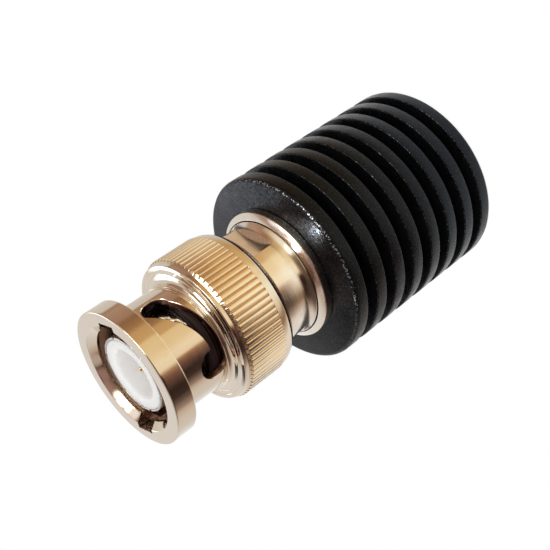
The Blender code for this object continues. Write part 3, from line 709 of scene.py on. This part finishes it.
def make_heat_sink():
    outline = [(0.0, SINK_BORES[0][1], 0)]
    tops = [foot for _, foot in SINK_BORES[1:]] + [SINK_TOP]
    for (radius, foot), top in zip(SINK_BORES, tops):
        outline += [(radius, foot, 0), (radius, top, 0)]
    outline.append((FIN_RADIUS, SINK_TOP, FRONT_ROUND))
    height = SINK_TOP - FRONT_DISC
    for _ in range(FIN_GROOVES):
        floor = height - FIN_GAP
        outline += [(FIN_RADIUS, height, FIN_ROUND), (FIN_ROOT, height, ROOT_ROUND)]
        outline += [(FIN_ROOT, floor, ROOT_ROUND), (FIN_RADIUS, floor, FIN_ROUND)]
        height = floor - (FIN_PITCH - FIN_GAP)
    outline += [(FIN_RADIUS, 0.0, REAR_ROUND), (0.0, 0.0, 0)]
    item = lathe("heat_sink_body", softened(outline, 4), even(256), closed=False)
    dressed(smooth(item), BLACK, "root", "black_anodised", "heat_sink")


# Neck and flange


def make_neck(cove_steps=12):
    outline = [(NECK_EYE, SPIGOT_FOOT, 0), (SPIGOT_RADIUS, SPIGOT_FOOT, SPIGOT_ROUND)]
    outline += [(SPIGOT_RADIUS, FLANGE_FOOT, 0), (FLANGE_RADIUS, FLANGE_FOOT, FLANGE_ROUND)]
    outline += FLANGE_FACE
    for step in range(cove_steps + 1):
        share = step / cove_steps
        radius = NECK_RADIUS + COVE_REACH * (1.0 - share) ** 2.0
        outline.append((radius, COVE_FOOT + COVE_HEIGHT * share, 0))
    outline += [(NECK_RADIUS, NECK_TOP, NECK_ROUND), (NECK_BORE, NECK_TOP, 0)]
    outline += [(NECK_BORE, NECK_FLOOR, 0), (NECK_EYE, NECK_FLOOR, 0)]
    points = divided(softened(outline, 4), 23.1, NECK_TOP, 0.4)
    item = lathe("neck_and_flange", points, even(256))
    across = rectangle(FLAT_DISTANCE, FLAT_DISTANCE + 1.6, 6.9)
    flats = prism(across, FLAT_FOOT, NECK_TOP + 1.0, FLAT_TURN, 2, "flats")
    carve(item, [flats])
    dressed(smooth(item, 24.0), NICKEL_NECK, "root", "nickel_plate", "flange_neck")


# Plug body, sleeve, insulator, pin and gasket


def make_plug_body():
    outline = [(PLUG_EYE, PLUG_FOOT, 0), (PLUG_SHANK, PLUG_FOOT, 0.1), (PLUG_SHANK, STEM_FOOT, 0)]
    outline += [(PLUG_STEM, STEM_FOOT, 0.05), (PLUG_STEM, SHOULDER_FOOT, 0)]
    outline += [(SHOULDER_RADIUS, SHOULDER_FOOT, 0.06), (SHOULDER_RADIUS, SHOULDER_TOP, 0.06)]
    outline += [(SEAT_RADIUS, SHOULDER_TOP, 0.05), (SEAT_RADIUS, SEAT_TOP, 0.12)]
    outline += [(PLUG_BORE, SEAT_TOP, 0.05), (PLUG_BORE, PLUG_FLOOR, 0), (PLUG_EYE, PLUG_FLOOR, 0)]
    item = lathe("body_of_plug", softened(outline), even(128))
    dressed(smooth(item), NICKEL_SHADED, "root", "nickel_plate", "plug_body")


def make_sleeve():
    outline = [(SLEEVE_INSIDE, SLEEVE_FOOT, 0), (SLEEVE_RADIUS, SLEEVE_FOOT, 0)]
    outline += [(SLEEVE_RADIUS, CONTACT_TOP, 0.10), (SLEEVE_INSIDE, CONTACT_TOP, 0.05)]
    points = divided(softened(outline), 34.0, CONTACT_TOP, 0.5)
    item = lathe("fingers", points, even(192))
    across = rectangle(SLEEVE_INSIDE - 0.57, SLEEVE_RADIUS + 0.5, SLIT_HALF)
    carve(item, [prism(across, SLIT_FOOT, MOUTH, SLIT_TURN, SLIT_COUNT, "slits")])
    dressed(smooth(item), CONTACT, "root", "contact_silver", "finger_sleeve")


def make_cup():
    outline = [(PIN_HOLE, SLEEVE_FOOT, 0), (CUP_RADIUS, SLEEVE_FOOT, 0)]
    outline += [(CUP_RADIUS, CONTACT_TOP, 0.12), (CUP_BORE, CONTACT_TOP, 0.40)]
    outline += [(CUP_BORE, CUP_FLOOR, 0.5), (PIN_HOLE, CUP_FLOOR, 0.05)]
    item = lathe("cup_insulator", softened(outline, 4), even(128))
    dressed(smooth(item), PTFE, "root", "ptfe", "front_insulator")


def make_pin():
    item = lathe("gold_pin", softened(PIN_CORNERS, 4), even(64), closed=False)
    dressed(smooth(item), GOLD, "root", "gold_plate", "centre_pin")


def make_gasket():
    outline = [(PLUG_BORE, GASKET_FOOT, 0.1), (SEAT_RADIUS, GASKET_FOOT, 0.1)]
    outline += [(SEAT_RADIUS, GASKET_TOP, GASKET_ROUND), (PLUG_BORE, GASKET_TOP, GASKET_ROUND)]
    item = lathe("gasket_ring", softened(outline, 4), even(128))
    dressed(smooth(item, 50.0), SILICONE, "root", "silicone", "face_gasket")


# Coupling nut


def slot_edges(angle):
    """Depths of the channel's front and rear edge between the entry and the crest."""
    share = (CREST_ANGLE - angle) / (CREST_ANGLE - ENTRY_ANGLE)
    front = CREST_DEPTH - (CREST_DEPTH - (ENTRY_DEPTH - ENTRY_RADIUS)) * share**2
    rear_end = END_DEPTH + END_RADIUS
    rear = rear_end - (rear_end - (ENTRY_DEPTH + ENTRY_RADIUS)) * share**2
    return front, rear


def slot_outline(channel_steps=40, drill_steps=40):
    """One bayonet slot rolled out flat, as (length along the barrel, depth from the mouth)."""
    points = []
    for step in range(drill_steps // 2 + 1):
        angle = math.radians(90.0) - TURN * step / drill_steps
        x = ENTRY_ANGLE * BARREL_RADIUS + ENTRY_RADIUS * math.cos(angle)
        points.append((x, ENTRY_DEPTH + ENTRY_RADIUS * math.sin(angle)))
    sweep = CREST_ANGLE - ENTRY_ANGLE
    angles = [ENTRY_ANGLE + sweep * (step + 1) / channel_steps for step in range(channel_steps)]
    points += [(angle * BARREL_RADIUS, slot_edges(angle)[0]) for angle in angles]
    for step in range(3 * drill_steps // 4 + 1):
        angle = -TURN * step / drill_steps
        x = END_ANGLE * BARREL_RADIUS + END_RADIUS * math.cos(angle)
        points.append((x, END_DEPTH + END_RADIUS * math.sin(angle)))
    points += [(angle * BARREL_RADIUS, slot_edges(angle)[1]) for angle in reversed(angles)]
    return points


def flat_slot(strips=60, shift=0.37):
    """Corners and faces of the rolled out slot in strips, and each rim corner's next one."""
    flat = bmesh.new()
    flat.faces.new([flat.verts.new((x, depth, 0.0)) for x, depth in slot_outline()])
    start = END_ANGLE * BARREL_RADIUS - END_RADIUS
    length = ENTRY_ANGLE * BARREL_RADIUS + ENTRY_RADIUS - start
    for step in range(1, strips):
        everything = flat.verts[:] + flat.edges[:] + flat.faces[:]
        along = start + length * (step + shift) / strips
        plane = {"plane_co": (along, 0, 0), "plane_no": (1, 0, 0)}
        bmesh.ops.bisect_plane(flat, geom=everything, dist=1e-5, **plane)
    bmesh.ops.recalc_face_normals(flat, faces=flat.faces)
    flat.verts.index_update()
    places = [(corner.co.x, corner.co.y) for corner in flat.verts]
    faces = [[corner.index for corner in face.verts] for face in flat.faces]
    following = {}
    for edge in flat.edges:
        if len(edge.link_faces) == 1:
            loop = next(loop for loop in edge.link_faces[0].loops if loop.edge == edge)
            following[loop.vert.index] = loop.link_loop_next.vert.index
    flat.free()
    return places, faces, following


def outward_ways(places, following):
    """Direction out of the slot at each corner of its rim."""
    order = [next(iter(following))]
    while following[order[-1]] != order[0]:
        order.append(following[order[-1]])
    area = 0.0
    for here, there in following.items():
        area += places[here][0] * places[there][1] - places[there][0] * places[here][1]
    side = 1.0 if area > 0.0 else -1.0
    ways = {}
    for index, here in enumerate(order):
        before, after = places[order[index - 1]], places[order[(index + 1) % len(order)]]
        along = Vector((after[0] - before[0], after[1] - before[1])).normalized()
        ways[here] = (along.y * side, -along.x * side)
    return ways


def slot_cutter():
    """Curved block in the form of both slots, with the outline set out as SLOT_LEVELS says."""
    places, faces, following = flat_slot()
    ways = outward_ways(places, following)
    shape = bmesh.new()
    rings = []
    for radius, outset in SLOT_LEVELS:
        ring = {}
        for index, way in ways.items():
            x, depth = (here + out * outset for here, out in zip(places[index], way))
            ring[index] = shape.verts.new(round_axis(radius, x / BARREL_RADIUS, MOUTH - depth))
        rings.append(ring)
    for ring in (rings[0], rings[-1]):
        for face in faces:
            shape.faces.new([ring[index] for index in face])
    for lower, upper in zip(rings, rings[1:]):
        for here, there in following.items():
            shape.faces.new((lower[here], lower[there], upper[there], upper[here]))
    bmesh.ops.recalc_face_normals(shape, faces=shape.faces)
    return placed("slots", repeated(shape, 2))


def knurl_angles():
    """Column angles of the nut: a fine set round each groove of the knurl."""
    pitch = TURN / KNURL_RIDGES
    edge = KNURL_HALF_WIDTH / (KNURL_RADIUS * pitch)
    outer, inner, floor = edge + 0.045, edge - 0.05, 0.03
    shares = [-0.5, -outer, -edge, -inner, -floor, floor, inner, edge, outer]
    return [(index + 0.5 + share) * pitch for index in range(KNURL_RIDGES) for share in shares]


def knurled(radius, height, angle):
    """Radius of the nut's outside, with the V grooves of the knurl."""
    beside = height < RING_TOP + 0.004 or height > COLLAR_BOTTOM + 0.001
    if beside or radius < COLLAR_RADIUS + 0.005:
        return radius
    pitch = TURN / KNURL_RIDGES
    across = abs((angle / pitch) % 1.0 - 0.5) * pitch * KNURL_RADIUS
    if across > KNURL_HALF_WIDTH + 0.02:
        return radius
    depth = KNURL_DEPTH * (1.0 - across / KNURL_HALF_WIDTH)
    depth = max(min(depth, KNURL_DEPTH * KNURL_FLAT), KNURL_EDGE)
    return min(radius, KNURL_RADIUS - depth)


def burr_size(share):
    """Size of the burr's section at a share of its length: lumpy, and thin at both ends."""
    wave = abs(math.sin(TURN * share * 1.15 + 0.5)) * (0.75 + 0.25 * math.cos(TURN * share * 3.7))
    lump = 0.35 + 0.65 * wave
    return BURR_SIZE * max(0.08, lump * min(1.0, 6.0 * share, 6.0 * (1.0 - share)))


def make_burr(steps=48, sides=10):
    """Thin torn rim of plating on each slot's front edge, near the entry, painted near white as a
    highlight.
    """
    shape = bmesh.new()
    rings = []
    for step in range(steps + 1):
        share = step / steps
        angle = BURR_ANGLES[0] + (BURR_ANGLES[1] - BURR_ANGLES[0]) * share
        depth = slot_edges(angle)[0]
        size = burr_size(share)
        ring = []
        for side in range(sides):
            turn = TURN * side / sides
            radius = BARREL_RADIUS - 0.03 + 0.70 * size * math.cos(turn)
            height = MOUTH - depth - 0.05 + 1.1 * size * math.sin(turn)
            ring.append(shape.verts.new(round_axis(radius, angle, height)))
        rings.append(ring)
    for first, second in zip(rings, rings[1:]):
        for side in range(sides):
            after = (side + 1) % sides
            shape.faces.new((first[side], first[after], second[after], second[side]))
    shape.faces.new(rings[0])
    shape.faces.new(rings[-1][::-1])
    bmesh.ops.recalc_face_normals(shape, faces=shape.faces)
    item = placed("slot_burr", repeated(shape, 2))
    dressed(smooth(item, 60.0), NICKEL_BURR_LIT, "nut", "nickel_plate")


def nut_outline(fillet_steps=10, ring_steps=9):
    """Corners of the nut's section, from the mouth down its outside and up its inside."""
    outline = [(BORE_RADIUS, MOUTH - MOUTH_CHAMFER, MOUTH_ROUND)]
    outline += [(BORE_RADIUS + MOUTH_CHAMFER, MOUTH, MOUTH_ROUND), (RIM_RADIUS, MOUTH, MOUTH_ROUND)]
    outline += [(RIM_RADIUS, MOUTH - 0.22, 0), (RIM_RADIUS, RIM_BACK + 0.14, 0)]
    outline += [(RIM_RADIUS, RIM_BACK, 0.06), (BARREL_RADIUS, RIM_BACK, 0.05)]
    outline += [(BARREL_RADIUS, RIM_BACK - 0.09, 0)]
    foot = BARREL_RADIUS + FILLET_STEP
    base = COLLAR_TOP + FILLET_FOOT
    outline += [(BARREL_RADIUS, COLLAR_TOP + 0.52, 0), (foot, COLLAR_TOP + 0.50, 0)]
    for step in range(1, fillet_steps):
        share = step / fillet_steps
        height = base + FILLET_HEIGHT * (1.0 - share) ** 1.9
        outline.append((foot + FILLET_REACH * share**1.6, height, 0))
    for radius in COLLAR_LINES:
        outline += [(radius - 0.035, COLLAR_TOP + 0.035, 0), (radius, COLLAR_TOP + 0.005, 0)]
        outline += [(radius + 0.03, COLLAR_TOP + 0.04, 0)]
    outline += [(COLLAR_RADIUS, COLLAR_TOP, 0.09), (COLLAR_RADIUS, COLLAR_BOTTOM, 0.05)]
    outline += [(COLLAR_RADIUS + slope, COLLAR_BOTTOM - slope, 0) for slope in (0.1, 0.2)]
    outline += [(KNURL_RADIUS, KNURL_TOP, 0.06), (KNURL_RADIUS, KNURL_BOTTOM, 0.05)]
    outline += [(RING_RADIUS, RING_TOP + 0.01, 0), (RING_RADIUS, RING_TOP, 0)]
    for step in range(1, ring_steps):
        share = step / ring_steps
        height = RING_TOP + (NUT_BOTTOM - RING_TOP) * share
        outline.append((RING_RADIUS - (RING_RADIUS - RING_FACE) * share**3, height, 0))
    outline += [(RING_FACE, NUT_BOTTOM, 0.04), (CHAMBER_RADIUS, NUT_BOTTOM, 0.12)]
    groove, low, high = SNAP_GROOVE
    outline += [(CHAMBER_RADIUS, low, 0), (groove, low, 0), (groove, high, 0)]
    outline += [(CHAMBER_RADIUS, high, 0), (CHAMBER_RADIUS, CHAMBER_TOP, 0)]
    outline.append((BORE_RADIUS, CHAMBER_TOP, 0.08))
    return outline


def make_nut():
    """Coupling nut, with its slots, keyways and torn pockets cut out."""
    points = divided(softened(nut_outline(), 4), COLLAR_TOP, RIM_BACK + 0.1, 0.35)
    item = lathe("bayonet_nut", points, knurl_angles(), knurled)
    across = rectangle(CUTTER_INSIDE, KEYWAY_RADIUS, KEYWAY_HALF)
    keyway = prism(across, MOUTH - KEYWAY_DEPTH, CUTTER_TOP, 0.0, 2, "keys")
    half = KEYWAY_HALF + 0.003
    torn = [(POCKET_RADIUS + reach, -half + share * 2.0 * half) for share, reach in POCKET_EDGE]
    torn = [(CUTTER_INSIDE, -half), *torn, (CUTTER_INSIDE, half)]
    pocket = prism(torn, MOUTH - POCKET_DEPTH, CUTTER_TOP, 0.0, 2, "pockets")
    carve(item, [slot_cutter(), keyway, pocket])
    dressed(smooth(item), NICKEL, "nut", "nickel_plate", "coupling_nut")


# Springs and plain nodes inside the nut and the heat sink


def make_waves():
    """Wave washers, wavy round the axis; the real ones flatten towards the plug body's shoulder as
    the nut slides.
    """
    near, far = WAVE_RADII
    for name, node, foot in WAVES:
        top = foot + WAVE_THICKNESS
        corners = ((near, foot), (far, foot), (far, top), (near, top))
        outline = [(*corner, WAVE_ROUND) for corner in corners]
        item = lathe(name, softened(outline, 2), even(120))
        for corner in item.data.vertices:
            angle = math.atan2(corner.co.y, corner.co.x)
            corner.co.z += WAVE_RISE * MM * (1.0 - math.cos(WAVE_CRESTS * angle))
        dressed(smooth(item, 45.0), SPRING, "root", "spring_steel", node)
        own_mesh(item)


def dress_nodes():
    """Materials of the plain nodes inside, which keep the frame's own shape."""
    looks = {
        "rear_insulator": PTFE,
        "snap_ring": SPRING,
        "flat_washer": SPRING,
        "resistor_rod": FILM,
        "resistor_front_cap": TINNED,
        "resistor_rear_cap": TINNED,
        "ground_contact": GOLD,
    }
    for name, look in looks.items():
        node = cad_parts[name]
        node.data.materials.clear()
        node.data.materials.append(look)


# Studio: world, floor, lamps and camera


# Reflected room, as (azimuth in degrees, colour): the foot of the walls, the walls below the
# horizon, and the walls above it
FOOT_BANDS = (
    (-180, (0.80, 0.72, 0.64)),
    (-165, (0.86, 0.80, 0.73)),
    (-150, (0.84, 0.77, 0.70)),
    (-135, (0.60, 0.45, 0.33)),
    (-122, (0.30, 0.18, 0.105)),
    (-113, (0.36, 0.24, 0.15)),
    (-100, (0.74, 0.60, 0.44)),
    (-83, (0.97, 0.86, 0.69)),
    (-65, (1.02, 0.95, 0.78)),
    (-48, (0.97, 0.81, 0.56)),
    (-28, (0.92, 0.74, 0.47)),
    (-14, (0.72, 0.48, 0.23)),
    (8, (0.66, 0.43, 0.19)),
    (26, (0.54, 0.33, 0.16)),
    (43, (0.60, 0.40, 0.23)),
    (60, (0.62, 0.53, 0.43)),
    (72, (0.66, 0.60, 0.54)),
    (105, (0.71, 0.67, 0.61)),
    (122, (0.95, 0.92, 0.90)),
    (136, (1.08, 1.08, 1.10)),
    (150, (0.84, 0.84, 0.86)),
    (168, (0.76, 0.72, 0.70)),
)
LOW_BANDS = (
    (-180, (0.70, 0.64, 0.58)),
    (-160, (0.68, 0.60, 0.52)),
    (-148, (0.58, 0.46, 0.38)),
    (-142, (0.36, 0.25, 0.19)),
    (-131, (0.15, 0.10, 0.08)),
    (-122, (0.050, 0.030, 0.022)),
    (-108, (0.033, 0.019, 0.014)),
    (-98, (0.090, 0.045, 0.034)),
    (-88, (0.22, 0.10, 0.058)),
    (-80, (0.42, 0.22, 0.12)),
    (-76, (0.90, 0.74, 0.50)),
    (-64, (0.96, 0.80, 0.56)),
    (-48, (0.86, 0.66, 0.38)),
    (-28, (0.82, 0.61, 0.33)),
    (-23, (0.64, 0.40, 0.17)),
    (-6, (0.58, 0.35, 0.15)),
    (2, (0.38, 0.20, 0.085)),
    (18, (0.27, 0.14, 0.072)),
    (26, (0.38, 0.225, 0.145)),
    (52, (0.44, 0.28, 0.19)),
    (60, (0.36, 0.23, 0.16)),
    (66, (0.66, 0.60, 0.54)),
    (105, (0.71, 0.67, 0.61)),
    (122, (0.95, 0.92, 0.90)),
    (136, (1.08, 1.08, 1.10)),
    (150, (0.84, 0.84, 0.86)),
    (168, (0.76, 0.72, 0.70)),
)
HIGH_BANDS = (
    (-180, (0.68, 0.62, 0.56)),
    (-164, (0.50, 0.38, 0.29)),
    (-154, (0.20, 0.12, 0.085)),
    (-140, (0.10, 0.060, 0.045)),
    (-100, (0.065, 0.038, 0.030)),
    (-78, (0.14, 0.080, 0.050)),
    (-60, (0.16, 0.10, 0.060)),
    (-46, (0.26, 0.18, 0.10)),
    (-32, (0.82, 0.70, 0.50)),
    (-10, (0.88, 0.80, 0.64)),
    (20, (0.56, 0.40, 0.26)),
    (28, (0.34, 0.20, 0.13)),
    (60, (0.36, 0.23, 0.16)),
    (68, (0.66, 0.60, 0.54)),
    (105, (0.74, 0.69, 0.64)),
    (119, (0.76, 0.73, 0.71)),
    (150, (0.80, 0.77, 0.74)),
)
ZENITH = (0.36, 0.215, 0.175)
# Seams between the foot, the low walls, the high walls and the zenith, as ranges of upward share
LAYER_EDGES = ((-0.465, -0.44), (-0.22, 0.12), (0.86, 0.97))
# Lit and dark cards, as (azimuth, elevation, half width, share of it at full colour, colour)
CARDS = (
    (12, 49, 9, 0.6, (6.0, 5.8, 5.4)),
    (-8, 54, 9, 0.6, (8.0, 7.8, 7.4)),
    (-25, 57, 8, 0.6, (8.0, 7.8, 7.4)),
    (137, 42, 14, 0.55, (0.06, 0.055, 0.055)),
    (-33, 10, 13, 0.6, (1.3, 1.25, 1.15)),
    (29, 77, 7, 0.5, (3.0, 2.9, 2.7)),
    (22, 58, 8, 0.4, (2.0, 1.95, 1.9)),
    (-2, 65, 9, 0.4, (2.4, 2.35, 2.3)),
    (-27, 68, 8, 0.3, (1.8, 1.7, 1.6)),
    (36, 51, 11, 0.4, (0.95, 0.88, 0.84)),
    (-112, 65, 14, 0.1, (0.32, 0.19, 0.16)),
    (-149, 51, 13, 0.1, (0.50, 0.39, 0.34)),
    (104, 32, 13, 0.3, (2.6, 2.6, 2.8)),
    (-90, -8, 16, 0.5, (0.024, 0.014, 0.010)),
    (-140, 78, 13, 0.5, (0.055, 0.028, 0.020)),
)


def set_stops(ramp, bands):
    """Put the bands' colours round a colour ramp, which ends as it starts."""
    stops = ramp.color_ramp.elements
    while len(stops) > 1:
        stops.remove(stops[-1])
    stops[0].position = 0.0
    stops[0].color = (*bands[0][1], 1.0)
    for degrees, colour in bands[1:]:
        stops.new((degrees + 180.0) / 360.0).color = (*colour, 1.0)
    stops.new(1.0).color = (*bands[0][1], 1.0)


def light_paths(graph):
    """Outputs of the light path, and 1 for camera and transmission rays."""
    path = graph.node("ShaderNodeLightPath").outputs
    return path, graph.math("MAXIMUM", path["Is Camera Ray"], path["Is Transmission Ray"])


def painted_room(graph):
    """Colour of the reflected room in every direction."""
    way = graph.node("ShaderNodeTexCoord").outputs["Generated"]
    x, y, z = graph.node("ShaderNodeSeparateXYZ", {0: way}).outputs
    share = graph.total(graph.math("DIVIDE", graph.math("ARCTAN2", y, x), TURN), 0.5)
    layers = []
    for bands in (FOOT_BANDS, LOW_BANDS, HIGH_BANDS):
        ramp = graph.node("ShaderNodeValToRGB", {0: share})
        set_stops(ramp, bands)
        layers.append(ramp.outputs[0])
    colour = layers[0]
    for limits, layer in zip(LAYER_EDGES, (*layers[1:], ZENITH)):
        colour = graph.mix(graph.range(z, *limits), colour, layer)
    for azimuth, elevation, width, full, card in CARDS:
        round_z, lift = math.radians(azimuth), math.radians(elevation)
        level = math.cos(lift)
        toward = (level * math.cos(round_z), level * math.sin(round_z), math.sin(lift))
        dot = graph.node("ShaderNodeVectorMath", {0: way, 1: toward}, operation="DOT_PRODUCT")
        edge = math.cos(math.radians(width))
        core = math.cos(math.radians(width * full))
        colour = graph.mix(graph.range(dot.outputs["Value"], edge, core), colour, card)
    return colour


def make_world():
    """White for the camera, even light for matt surfaces, and a warm room for the metal."""
    world = bpy.data.worlds.new("studio")
    bpy.context.scene.world = world
    world.use_nodes = True
    world.cycles.sampling_method = "NONE"
    world.node_tree.nodes.clear()
    graph = Graph(world.node_tree)
    path, seen = light_paths(graph)
    lights = ((painted_room(graph), 1.0), (WHITE, 1.0), MATT_LIGHT)
    mirror, white, matt = (
        graph.node("ShaderNodeBackground", {0: colour, 1: level}).outputs[0]
        for colour, level in lights
    )
    unseen = graph.node("ShaderNodeMixShader", {0: path["Is Glossy Ray"], 1: matt, 2: mirror})
    both = graph.node("ShaderNodeMixShader", {0: seen, 1: unseen.outputs[0], 2: white})
    graph.node("ShaderNodeOutputWorld", {0: both.outputs[0]})


def make_floor():
    """Small white disc under the heat sink, which keeps a soft shadow."""
    shape = bmesh.new()
    circle = {"segments": 128, "radius": FLOOR_RADIUS * MM}
    bmesh.ops.create_circle(shape, cap_ends=True, cap_tris=False, **circle)
    for corner in shape.verts:
        corner.co.z = -FLOOR_DROP * MM
    floor = placed("floor", shape)
    made = bpy.data.materials.new("floor_white")
    made.use_nodes = True
    made.node_tree.nodes.clear()
    graph = Graph(made.node_tree)
    path, seen = light_paths(graph)
    seen = graph.math("MAXIMUM", seen, path["Is Glossy Ray"])
    paint, thin = (
        graph.node("ShaderNodeBsdfDiffuse", {0: (grey, grey, grey, 1.0)}).outputs[0]
        for grey in (FLOOR_PAINT, FLOOR_SHADE)
    )
    glow, plain = (
        graph.node("ShaderNodeEmission", {0: WHITE, 1: level}).outputs[0]
        for level in (FLOOR_GLOW, 1.0)
    )
    shaded = graph.node("ShaderNodeAddShader", {0: thin, 1: glow}).outputs[0]
    _, radius, _, _ = graph.polar()
    fade = graph.range(radius, 0.5 * FLOOR_RADIUS, 0.95 * FLOOR_RADIUS)
    shown = graph.node("ShaderNodeMixShader", {0: fade, 1: shaded, 2: plain}).outputs[0]
    both = graph.node("ShaderNodeMixShader", {0: seen, 1: paint, 2: shown}).outputs[0]
    graph.node("ShaderNodeOutputMaterial", {0: both})
    floor.data.materials.append(made)


def aimed(lamp, place, target):
    """Object of a lamp at a place, turned towards a target."""
    item = linked(lamp.name, lamp)
    item.location = place
    aim = Vector(target) - Vector(place)
    item.rotation_euler = aim.to_track_quat("-Z", "Y").to_euler()
    return item


def make_lamp(name, place, size, power):
    """Soft lamp above the object, aimed at its middle."""
    lamp = bpy.data.lights.new(name, "AREA")
    lamp.shape = "DISK"
    lamp.size = size
    lamp.energy = power
    aimed(lamp, place, LAMP_TARGET).visible_glossy = False


def make_spot():
    """Narrow lamp on the front disc beside the flange, where bright metal throws its light."""
    lamp = bpy.data.lights.new("glint", "SPOT")
    lamp.energy = GLINT_POWER
    lamp.spot_size = GLINT_CONE
    lamp.spot_blend = 1.0
    lamp.shadow_soft_size = GLINT_SIZE
    aimed(lamp, GLINT_PLACE, GLINT_TARGET)


def make_camera():
    """Camera of the picture."""
    camera = bpy.data.cameras.new("camera")
    camera.sensor_width = CAMERA_SENSOR
    camera.lens = CAMERA_LENS
    camera.clip_start = 0.001
    camera.clip_end = 10.0
    item = linked("camera", camera)
    item.location = CAMERA_PLACE
    item.rotation_euler = [math.radians(angle) for angle in CAMERA_TURN]
    bpy.context.scene.camera = item


make_heat_sink()
make_neck()
make_plug_body()
make_sleeve()
make_cup()
make_pin()
make_gasket()
make_nut()
make_burr()
make_waves()
dress_nodes()
make_world()
make_floor()
make_lamp("key", (0.12, -0.16, 0.26), 0.16, 0.30)
make_lamp("fill", (-0.22, -0.06, 0.16), 0.20, 0.12)
make_spot()
make_camera()

bpy.context.scene.view_settings.view_transform = "Standard"
